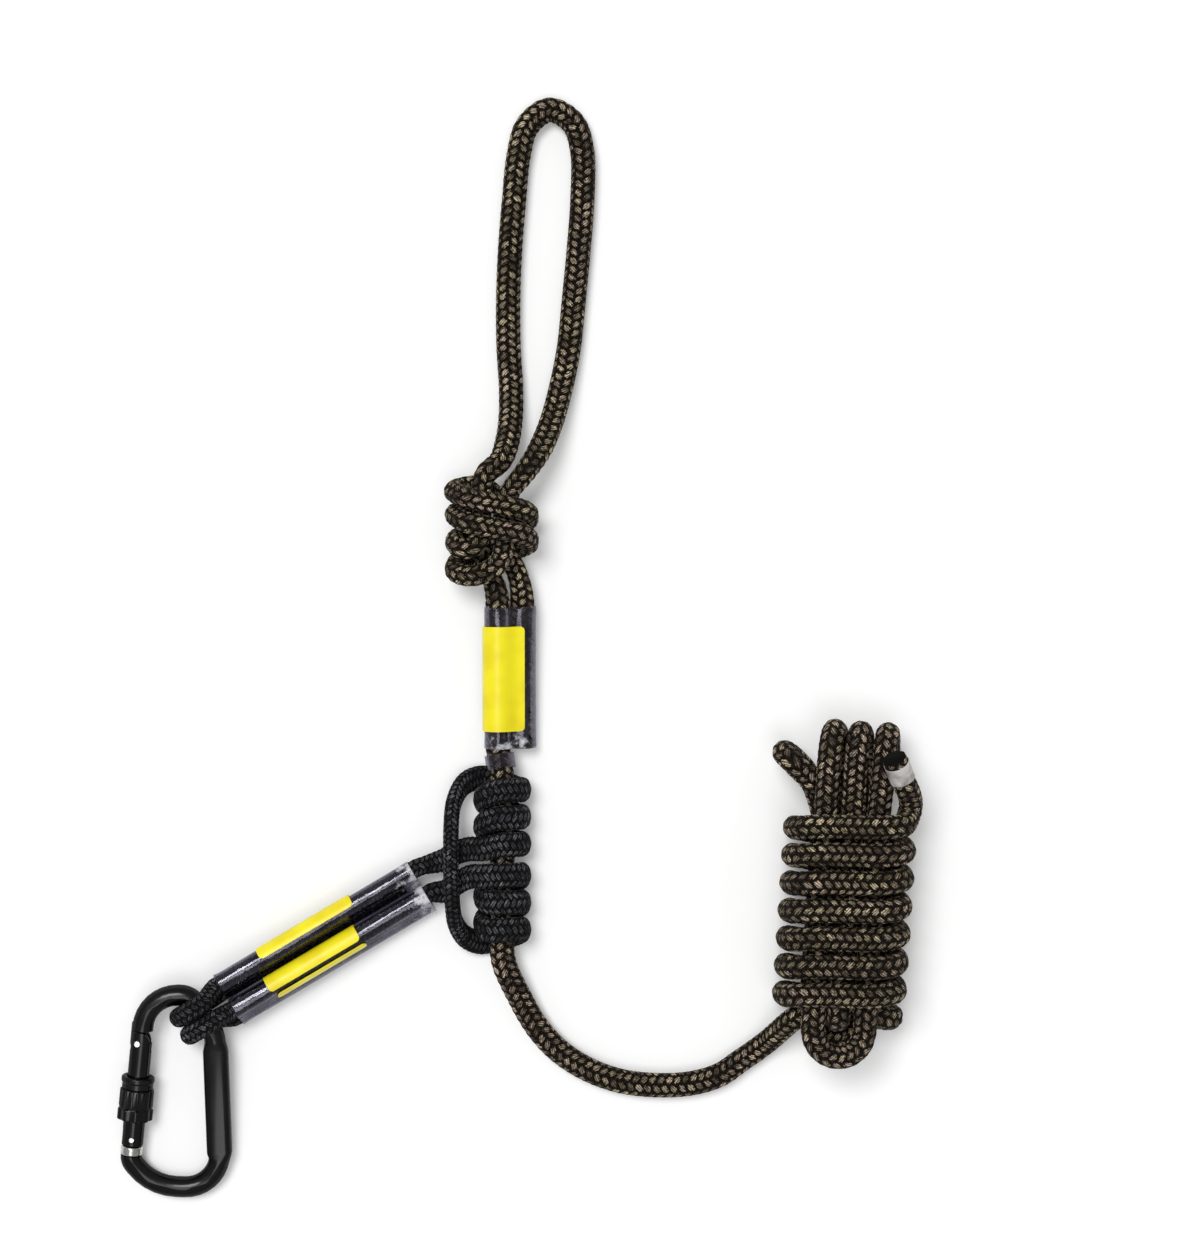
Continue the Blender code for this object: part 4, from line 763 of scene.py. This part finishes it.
def braid_look(name, dark, shade, fleck, fleck_other, blob, yarns, drift, bump):
    """Braided yarn: dark strands with a ragged paler fleck in the middle, each of its own strength; each
    strand's sides and the furrows between its yarns are painted darker as shade.
    """
    look = Look(name)
    run, across, along, strand, place = strand_on_top(look)
    chance = look.scatter(look.vector(strand, place, 0.0))
    tint = look.scatter(look.vector(strand, 3.0, 7.0))
    off_side = look.from_middle(across)
    off_end = look.from_middle(along)
    fibre_place = look.vector(look.scaled(across, 7.0, look.times(strand, 5.3)),
                              look.scaled(along, 2.4, look.times(place, 3.1)), 0.0)
    fibre = look.noise(fibre_place, 1.0, 3.0, 0.7)
    texture = look.place()
    clump = look.noise(texture, CLUMP_SCALE, 2.0, 0.65)
    side = look.calc("DIVIDE", off_side, blob[0])
    tip = look.calc("DIVIDE", off_end, blob[1])
    far = look.plus(look.times(side, side), look.times(tip, tip))
    far = look.plus(far, look.scaled(clump, RAGGEDNESS, -RAGGEDNESS / 2))
    furrow = look.from_middle(look.calc("FRACT", look.times(across, yarns)))
    # Flecks fade towards the furrows between yarns: painted shade in the furrows.
    share = look.times(look.ramp(far, 0.3, 1.2, 1.0, 0.0), look.ramp(furrow, 0.3, 1.0, 1.0, 0.08))
    share = look.times(share, look.ramp(fibre, 0.38, 0.6, 0.12, 1.15))
    share = look.times(share, look.ramp(look.noise(texture, PATCH_SCALE, 2.0), 0.35, 0.62, 0.5, 1.2))
    share = look.times(share, look.ramp(chance, 0.0, 1.0, 0.2, 1.0, smooth=False))
    slow = look.noise(look.vector(run, 4.0, 0.0), HUE_SCALE, 1.0)
    hue = look.ramp(look.plus(slow, look.scaled(tint, drift, -drift / 2)), 0.4, 0.6)
    pale = look.mix(hue, fleck, fleck_other)
    # Painted shade: each strand goes to the dark colour towards its sides, at the grooves between strands;
    # the fibre noise adds random tone to it.
    depth = look.times(look.ramp(off_side, 0.4, 1.0, 1.0, 0.0), look.ramp(fibre, 0.35, 0.8))
    base = look.mix(depth, dark, shade)
    look.set(Base_Color=look.mix(share, base, pale), Roughness=0.9, Specular_IOR_Level=0.12)
    crown = look.minus(1.0, look.calc("POWER", off_side, 2.5))
    crown = look.times(crown, look.minus(1.0, look.calc("POWER", off_end, 5.0)))
    crown = look.minus(crown, look.times(look.calc("POWER", furrow, 3.0), 0.3))
    look.bump(look.scaled(fibre, 0.3, crown), bump)
    return look.material


ROPE_LOOK = braid_look(
    "rope_braid", colour(7, 5, 3), colour(50, 41, 31), colour(232, 214, 176), colour(228, 204, 180),
    (0.92, 0.62), 3.0, 0.25, 0.6 * MM)
CORD_LOOK = braid_look(
    "cord_braid", colour(4, 4, 5), colour(24, 24, 26), colour(128, 128, 134), colour(104, 104, 108),
    (0.9, 0.75), 2.0, 0.3, 0.35 * MM)


def wear(piece, material):
    piece.data.materials.clear()
    piece.data.materials.append(material)


def stand_in(piece, material, body, node):
    """Dressed piece that rides on a body and stands for one node."""
    wear(piece, material)
    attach(piece, body)
    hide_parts(node)
    return piece


# The rope


def make_rope():
    """One rope: the loop, the knot and the standing part, then the hank, split where it enters."""
    route, entry, end, outward = rope_route()
    rows = softened(evenly(smooth(route), ROPE_SPACING), 2)
    split = nearest(rows, entry)
    tangents = np.gradient(rows, axis=0)
    tangents /= np.linalg.norm(tangents, axis=1)[:, None]
    normals, others = transported(tangents, (0.3, 0.2, 1.0))
    steps = np.linalg.norm(np.diff(rows, axis=0), axis=1)
    runs = np.concatenate([[0.0], np.cumsum(steps)]) / ROPE_STEP
    presses = knot_press(rows[:, 1])
    places = np.arange(len(rows))
    presses[split:] = 1.0
    presses *= np.interp(places, (split - HANK_PRESS_ROWS, split), (1.0, HANK_PRESS))
    radii = presses * ROPE_DIAMETER / 2
    first = slice(0, split + 1)
    line = cord_skin("line_rope", rows[first], normals[first], others[first], radii[first], runs[first],
                     ROPE_RELIEF, LINE_SIDES)
    wear(line, ROPE_LOOK)
    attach(line, "line")
    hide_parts("tree_loop", "standing_rope")
    kept = int((len(rows) - split) * HANK_ROWS_KEPT)
    keep = np.unique(np.linspace(split, len(rows) - 1, kept).astype(int))
    hank = cord_skin("hank_rope", rows[keep], normals[keep], others[keep], radii[keep], runs[keep],
                     ROPE_RELIEF, HANK_SIDES)
    wear(hank, ROPE_LOOK)
    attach(hank, "line")
    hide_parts("rope_hank")
    tape = make_tape(end, outward)


# The black cord


def make_tether_cord():
    """One cord, pressed flat along the rope in the hitch and spread sideways in the eyes."""
    route, upper, lower = tether_cord_route()
    rows = softened(evenly(smooth(route), CORD_SPACING), 3)
    turn = tether_turn().to_3x3()
    ahead = np.array(turn @ Vector((1.0, 0.0, 0.0)))
    across = np.array(turn @ Vector((0.0, 1.0, 0.0)))
    reach = (rows - np.array(TETHER_PIVOT)) @ ahead
    mouth = SLEEVE_START + SLEEVE_LENGTH
    in_eye = np.interp(reach, (mouth, mouth + EYE_RUN), (0.0, 1.0))
    aside = (rows - np.array(TETHER_PIVOT)) @ across
    rows = rows - (np.sign(aside) * in_eye * EYE_BUNCH)[:, None] * across
    inside = (nearest(rows, upper), nearest(rows, lower))
    places = np.arange(len(rows))
    ramp = HITCH_PRESS_RUN / CORD_SPACING
    marks = (inside[0] - ramp, inside[0], inside[1], inside[1] + ramp)
    share = np.interp(places, marks, (0.0, 1.0, 1.0, 0.0))
    stretch = 1.0 + (PRESSED_STRETCH - 1.0) * share
    radii = (CORD_DIAMETER + (PRESSED_CORD - CORD_DIAMETER) * share) / 2
    tangents = np.gradient(rows, axis=0)
    tangents[:, 1] /= stretch
    tangents /= np.linalg.norm(tangents, axis=1)[:, None]
    normals, others = transported(tangents, (0.1, 0.2, 1.0))
    steps = np.linalg.norm(np.diff(rows, axis=0), axis=1)
    runs = np.concatenate([[0.0], np.cumsum(steps)]) / CORD_STEP
    draws = [(np.array((0.0, 1.0, 0.0)), stretch), (across, 1.0 + (EYE_SPREAD - 1.0) * in_eye)]
    piece = cord_skin("tether_cord", rows, normals, others, radii, runs, CORD_RELIEF, CORD_SIDES, draws)
    wear(piece, CORD_LOOK)
    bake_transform(piece)
    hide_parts("prusik_hitch", "upper_leg", "lower_leg", "upper_core", "lower_core",
                "upper_tail", "lower_tail", "upper_eye", "lower_eye")


# Clear sleeves, labels and tape


def oval_point(half, radius, turn):
    """Point on the outline round two equal circles; turns 0 to 1 and 2 to 3 are the round ends."""
    half = Vector(half)
    side = Vector((-half.y, half.x)).normalized()
    end = half.normalized()
    turn %= 4.0
    if turn < 1.0:
        angle = math.pi * turn
        return -half + radius * (side * math.cos(angle) - end * math.sin(angle))
    if turn < 2.0:
        return (-half).lerp(half, turn - 1.0) - radius * side
    if turn < 3.0:
        angle = math.pi * (turn - 2.0)
        return half + radius * (end * math.sin(angle) - side * math.cos(angle))
    return half.lerp(-half, turn - 3.0) + radius * side


def film_dip(turn, depth):
    """How far the film draws in between the two strands."""
    turn %= 4.0
    if 1.0 < turn < 2.0 or 3.0 < turn < 4.0:
        return depth * math.sin(math.pi * (turn % 1.0)) ** 2
    return 0.0


def two_skins(name, outer, inner, closed=True):
    """Thin closed shell from two grids of points of one size."""
    rows, count, _ = outer.shape
    index = np.arange(rows * count).reshape(rows, count)
    under = index + rows * count
    faces = []
    last = count if closed else count - 1
    for row in range(rows - 1):
        for here in range(last):
            ahead = (here + 1) % count
            one, two, three, four = (row, here), (row, ahead), (row + 1, ahead), (row + 1, here)
            faces.append((index[one], index[two], index[three], index[four]))
            faces.append((under[one], under[four], under[three], under[two]))
    for row in (0, rows - 1):
        for here in range(last):
            ahead = (here + 1) % count
            one, two = (row, here), (row, ahead)
            faces.append((index[one], index[two], under[two], under[one]))
    if not closed:
        for here in (0, count - 1):
            for row in range(rows - 1):
                one, two = (row, here), (row + 1, here)
                faces.append((index[one], index[two], under[two], under[one]))
    mesh = bpy.data.meshes.new(name)
    points = np.concatenate([outer.reshape(-1, 3), inner.reshape(-1, 3)]) + np.array(LAYOUT_SHIFT)
    mesh.from_pydata(points.tolist(), [], [tuple(int(corner) for corner in face) for face in faces])
    build = bmesh.new()
    build.from_mesh(mesh)
    bmesh.ops.recalc_face_normals(build, faces=build.faces)
    build.to_mesh(mesh)
    build.free()
    for polygon in mesh.polygons:
        polygon.use_smooth = True
    return add(name, mesh)


def film_look():
    """Clear plastic film: glossy streaks over what it covers, and a milky white where it is crumpled,
    partly the crumples' own milkiness and partly a painted reflection.
    """
    look = Look("clear_film")
    texture = look.place()
    clear = look.filled(look.node("ShaderNodeBsdfTransparent"), (0.66, 0.65, 0.7, 1.0))
    fresnel = look.filled(look.node("ShaderNodeFresnel"), 1.5)
    slow = look.noise(texture, 90.0, 2.0)
    share = look.times(fresnel, look.ramp(slow, 0.3, 0.7, 0.7, 1.5))
    share = look.calc("MINIMUM", share, 0.12)
    look.set(Base_Color=(0.86, 0.85, 0.95, 1.0), Metallic=1.0, Roughness=0.14)
    look.bump(look.noise(texture, 420.0, 1.0), 0.12 * MM)
    glossed = look.mix_shaders(share, clear, look.shader.outputs[0])
    # Milky white near the sleeve ends: partly the crumpled film's milkiness, partly a painted reflection
    # off the crumples.
    frost_and_painted_glare = look.node("ShaderNodeAttribute", attribute_name="frost_and_painted_glare").outputs["Fac"]
    crumple = look.noise(texture, 210.0, 3.0, 0.65)
    cloud_and_painted_glare = look.ramp(look.plus(look.times(frost_and_painted_glare, 0.55), crumple), 0.8, 1.08, 0.0, 0.8)
    white = look.filled(look.node("ShaderNodeBsdfDiffuse"), (0.74, 0.74, 0.78, 1.0))
    look.join(look.mix_shaders(cloud_and_painted_glare, glossed, white), look.tree.nodes["Material Output"].inputs[0])
    return look.material


FILM = film_look()


def ridges(angle, along, seed):
    """Height of the film's ridges in millimetres: five broad ones and eleven fine ones."""
    broad = 0.14 * math.sin(5 * angle + seed + 1.1 * math.sin(along / (19.0 * MM)))
    return broad + 0.06 * math.sin(11 * angle - seed * 2 + along / (16.0 * MM))


def film(name, node, body, place, half, radius, wall, run, dip, seed, frost_and_painted_glare_levels, ruffle=0.5):
    """Clear shell round two strands, with ridges along it and ends that are ruffled and milky white, the
    white partly a painted reflection.
    """
    turns = [side + index / count for side, count in enumerate(FILM_SIDES) for index in range(count)]
    rows = max(12, int((run[1] - run[0]) / FILM_ROW))
    skins = []
    for inset in (0.0, wall):
        rings = []
        for row in range(rows + 1):
            along = run[0] + (run[1] - run[0]) * row / rows
            near = min(row, rows - row) / rows * (run[1] - run[0])
            edge = math.exp(-near / RUFFLE_REACH)
            ring = []
            for turn in turns:
                angle = math.pi * turn / 2
                wave = ridges(angle, along, seed) * (radius / RIDGE_RADIUS) ** 2
                wave += ruffle * edge * (0.4 + 0.6 * math.sin(4 * angle + seed * 3 + along / RUFFLE_RUN))
                flat = oval_point(half, radius + wave * MM - inset - film_dip(turn, dip), turn)
                ring.append(tuple(place(along, flat)))
            rings.append(ring)
        skins.append(np.array(rings))
    piece = two_skins(name, skins[0], skins[1])
    reaches = np.linspace(0.0, run[1] - run[0], rows + 1)
    # How strongly each ring takes the milky white, partly a painted reflection, fading from both ends.
    cloudy_and_painted_glare = frost_and_painted_glare_levels[0] * np.exp(-reaches / FROST_AND_PAINTED_GLARE_REACH)
    cloudy_and_painted_glare += frost_and_painted_glare_levels[1] * np.exp(-reaches[::-1] / FROST_AND_PAINTED_GLARE_REACH)
    layer = piece.data.attributes.new("frost_and_painted_glare", "FLOAT", "POINT")
    layer.data.foreach_set("value", np.tile(np.repeat(cloudy_and_painted_glare, len(turns)), 2).astype(np.float32))
    return stand_in(piece, FILM, body, node)


def label_look():
    look = Look("label_yellow")
    texture = look.place()
    slow = look.noise(texture, 60.0, 2.0)
    fine = look.noise(texture, 900.0, 2.0)
    base = look.mix(look.ramp(slow, 0.35, 0.7), colour(252, 238, 26), colour(240, 220, 18))
    look.set(Base_Color=base, Roughness=look.ramp(fine, 0.3, 0.7, 0.32, 0.45), IOR=1.45)
    look.bump(look.plus(slow, look.times(fine, 0.15)), 0.12 * MM)
    return look.material


LABEL_LOOK = label_look()


def eased(index, count):
    """Share of a way, closer together at both ends."""
    return 0.5 - 0.5 * math.cos(math.pi * index / count)


def label(name, node, body, place, half, radius, run, turns, dip):
    """Thin sheet on part of the sleeve's outline, with rounded corners."""
    shares = [eased(index, LABEL_STEPS) for index in range(LABEL_STEPS + 1)]
    spans = [turns[0] + (turns[1] - turns[0]) * share for share in shares]
    flats = [oval_point(half, radius - film_dip(turn, dip), turn) for turn in spans]
    lengths = [0.0]
    for near, far in zip(flats, flats[1:]):
        lengths.append(lengths[-1] + (far - near).length)
    width = lengths[-1]
    length = run[1] - run[0]
    skins = []
    for thickness in (LABEL_THICKNESS, 0.0):
        rows = []
        for index in range(LABEL_ROWS + 1):
            share = eased(index, LABEL_ROWS)
            row = []
            for turn, reach in zip(spans, lengths):
                rest = max(0.0, LABEL_CORNER - min(reach, width - reach))
                cut = LABEL_CORNER - math.sqrt(LABEL_CORNER ** 2 - rest ** 2)
                along = run[0] + cut + (length - 2 * cut) * share
                flat = oval_point(half, radius + thickness - film_dip(turn, dip), turn)
                row.append(tuple(place(along, flat)))
            rows.append(row)
        skins.append(np.array(rows))
    piece = two_skins(name, skins[0], skins[1], closed=False)
    return stand_in(piece, LABEL_LOOK, body, node)


def splice_place(along, flat):
    return SPLICE_START + Matrix.Rotation(SPLICE_TILT, 3, "X") @ Vector((flat.x, along, flat.y))


def tether_place(lateral):
    return lambda along, flat: tether_to_world((along, lateral + flat.x, flat.y))


def neck_place(along, flat):
    axis = (NECK_TOP - NECK_BOTTOM).normalized()
    side = axis.cross(Vector((0.0, 0.0, 1.0))).normalized()
    up = side.cross(axis)
    return NECK_BOTTOM + axis * along + side * flat.x + up * flat.y


def make_sleeves():
    outer = ROPE_DIAMETER / 2 + TOUCH_GAP + SLEEVE_WALL
    film("splice_film", "splice_sleeve", "line", splice_place, SPLICE_HALF, outer - FILM_EASE,
         FILM_THICKNESS, SPLICE_FILM, SPLICE_DIP, 0.7, SPLICE_FROST_AND_PAINTED_GLARE)
    label("rope_label_sheet", "rope_label", "line", splice_place, SPLICE_HALF, outer + TOUCH_GAP,
          SPLICE_LABEL, SPLICE_LABEL_TURNS, SPLICE_DIP * LABEL_DIP)
    neck = (0.2 * MM, (NECK_TOP - NECK_BOTTOM).length - 0.2 * MM)
    film("neck_film", "neck_sleeve", "line", neck_place, NECK_HALF, NECK_RADIUS, NECK_FILM, neck,
         0.0, 1.9, NECK_FROST_AND_PAINTED_GLARE, NECK_RUFFLE)
    outer = CORD_DIAMETER / 2 + TOUCH_GAP + SLEEVE_WALL
    ends = (SLEEVE_START + 0.2 * MM, SLEEVE_START + SLEEVE_LENGTH - 0.2 * MM)
    upper = [("upper_label_sheet", UPPER_LABEL, UPPER_LABEL_TURNS)]
    lower = [("lower_label_sheet", LOWER_LABEL, LOWER_LABEL_TURNS),
             ("lower_label_strip", LOWER_STRIP, LOWER_STRIP_TURNS)]
    for prefix, side, sheets in (("upper", 1, upper), ("lower", -1, lower)):
        place = tether_place(-side * TETHER_SPACING / 2)
        film(prefix + "_film", prefix + "_sleeve", "tether", place, strand_half(), outer - FILM_EASE,
             FILM_THICKNESS, ends, TETHER_DIP, 2.0 + side, TETHER_FROST_AND_PAINTED_GLARE)
        for name, run, turns in sheets:
            label(name, prefix + "_label", "tether", place, strand_half(), outer + TOUCH_GAP, run, turns,
                  TETHER_DIP * LABEL_DIP)


def tape_look():
    look = Look("tape_white")
    texture = look.place()
    slow = look.noise(texture, 120.0, 3.0)
    base = look.mix(look.ramp(slow, 0.35, 0.65), colour(206, 203, 200), colour(132, 128, 124))
    look.set(Base_Color=base, Roughness=0.35, IOR=1.5)
    look.bump(look.noise(texture, 300.0, 3.0), 0.25 * MM)
    return look.material


def make_tape(end, outward):
    """Band wound on the rope's end, with a lapped edge; the rope's tip stands out beyond it."""
    side = outward.cross(Vector((0.0, 0.0, 1.0))).normalized()
    up = side.cross(outward)
    rings = []
    for row in range(TAPE_ROWS + 1):
        share = row / TAPE_ROWS
        along = TOUCH_GAP + (TAPE_LENGTH - TOUCH_GAP) * share
        ring = []
        for index in range(TAPE_SIDES):
            angle = 2 * math.pi * index / TAPE_SIDES
            lap = TAPE_LAP * (index / TAPE_SIDES)
            wrinkle = 0.05 * math.sin(3 * angle + 9 * share) + 0.04 * math.sin(7 * angle - 5 * share)
            reach = ROPE_DIAMETER / 2 + lap + wrinkle * MM
            skew = TAPE_SKEW * math.sin(angle)
            offset = side * math.cos(angle) + up * math.sin(angle)
            ring.append(tuple(end + outward * (along + skew) + offset * reach))
        rings.append(ring)
    outer = np.array(rings)
    places = np.linspace(TOUCH_GAP, TAPE_LENGTH, TAPE_ROWS + 1)[:, None, None]
    centre = np.array(end)[None, None, :] + np.array(outward)[None, None, :] * places
    inner = centre + (outer - centre) * TAPE_INSIDE
    piece = two_skins("tape_band", outer, inner)
    return stand_in(piece, tape_look(), "line", "rope_end_tape")


# Metal


def anodised_look():
    look = Look("anodised_black")
    texture = look.place()
    fine = look.noise(texture, 1500.0, 2.0)
    slow = look.noise(texture, 45.0, 3.0)
    base = look.mix(look.ramp(slow, 0.35, 0.7), colour(33, 33, 34), colour(39, 39, 40))
    look.set(Base_Color=base, Roughness=look.ramp(slow, 0.3, 0.7, 0.27, 0.34), Metallic=1.0)
    look.set(Specular_Tint=(0.03, 0.03, 0.035, 1.0))
    look.set(Coat_Weight=0.3, Coat_Roughness=0.12, Coat_IOR=1.5)
    look.bump(fine, 0.02 * MM)
    return look.material


def steel_look():
    look = Look("bright_steel")
    texture = look.place()
    fine = look.noise(texture, 700.0, 2.0)
    base = look.mix(look.ramp(fine, 0.3, 0.7), colour(214, 212, 208), colour(180, 178, 174))
    look.set(Base_Color=base, Roughness=look.ramp(fine, 0.3, 0.7, 0.2, 0.32), Metallic=1.0)
    look.bump(fine, 0.02 * MM)
    return look.material


ANODISED = anodised_look()
STEEL = steel_look()


def refined(node, body, name, material, bevel=0.0):
    """Smoothly shaded copy of a solid, its edges rounded a little, that stands for it."""
    build = bmesh.new()
    build.from_mesh(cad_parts[node].data)
    bmesh.ops.remove_doubles(build, verts=build.verts, dist=SAME_POINT)
    bmesh.ops.dissolve_limit(build, angle_limit=FLAT_ANGLE, verts=build.verts, edges=build.edges)
    mesh = bpy.data.meshes.new(name)
    for face in build.faces:
        face.smooth = True
    for edge in build.edges:
        if len(edge.link_faces) == 2:
            edge.smooth = edge.calc_face_angle() < EDGE_ANGLE
    build.to_mesh(mesh)
    build.free()
    piece = add(name, mesh)
    if bevel:
        rounding = piece.modifiers.new("rounding", "BEVEL")
        rounding.width = bevel
        rounding.segments = 3
        rounding.limit_method = "ANGLE"
        rounding.angle_limit = EDGE_ANGLE
    return stand_in(piece, material, body, node)


def make_metal():
    refined("carabiner_body", "carabiner", "carabiner_bar", ANODISED)
    refined("gate", "gate", "gate_tube", ANODISED)
    refined("sleeve_collar", "lock_carrier", "collar_ring", ANODISED, bevel=0.2 * MM)
    refined("lock_sleeve", "lock", "lock_nut", ANODISED, bevel=0.2 * MM)
    refined("hinge_rivet", "carabiner", "rivet_pin", STEEL, bevel=0.3 * MM)
    refined("nose_ring", "carabiner", "ring_band", STEEL, bevel=0.15 * MM)
    for name in ("latch_pin", "gate_spring", "spring_plunger"):
        wear(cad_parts[name], STEEL)


# Floor and light


def make_floor():
    build = bmesh.new()
    bmesh.ops.create_grid(build, x_segments=1, y_segments=1, size=FLOOR_HALF)
    mesh = bpy.data.meshes.new("floor")
    build.to_mesh(mesh)
    build.free()
    floor = add("floor", mesh)
    floor.location = (0.0, 0.0, -FLOOR_DROP)
    look = Look("floor_white")
    look.set(Base_Color=(0.95, 0.95, 0.95, 1.0), Roughness=1.0, Specular_IOR_Level=0.0)
    path = look.node("ShaderNodeLightPath")
    seen = look.plus(path.outputs["Is Camera Ray"], path.outputs["Is Glossy Ray"])
    seen = look.calc("ADD", seen, path.outputs["Is Transmission Ray"], clamp=True)
    look.set(Emission_Color=(1.0, 1.0, 1.0, 1.0))
    look.set(Emission_Strength=look.times(seen, FLOOR_GLOW))
    wear(floor, look.material)


def make_sun(name, tilt, bearing, width, strength):
    """Broad lamp far away, so far from straight above and towards a bearing from +X."""
    data = bpy.data.lights.new(name, "SUN")
    data.angle = math.radians(width)
    data.energy = strength
    lamp = add(name, data)
    towards = Vector((math.cos(math.radians(bearing)), math.sin(math.radians(bearing)), 0.0))
    aim = towards * math.sin(math.radians(tilt)) + Vector((0.0, 0.0, math.cos(math.radians(tilt))))
    lamp.rotation_euler = (-aim).to_track_quat("-Z", "Y").to_euler()


def make_world():
    world = bpy.data.worlds.new("world")
    bpy.context.scene.world = world
    world.use_nodes = True
    sky = world.node_tree.nodes["Background"]
    sky.inputs["Color"].default_value = (1.0, 1.0, 1.0, 1.0)
    sky.inputs["Strength"].default_value = WORLD_LEVEL


make_rope()
make_tether_cord()
make_sleeves()
make_metal()
make_floor()
make_world()
make_sun("key", *KEY_LAMP)
make_sun("fill", *FILL_LAMP)
bpy.context.scene.view_settings.view_transform = "Standard"

bpy.context.view_layer.update()
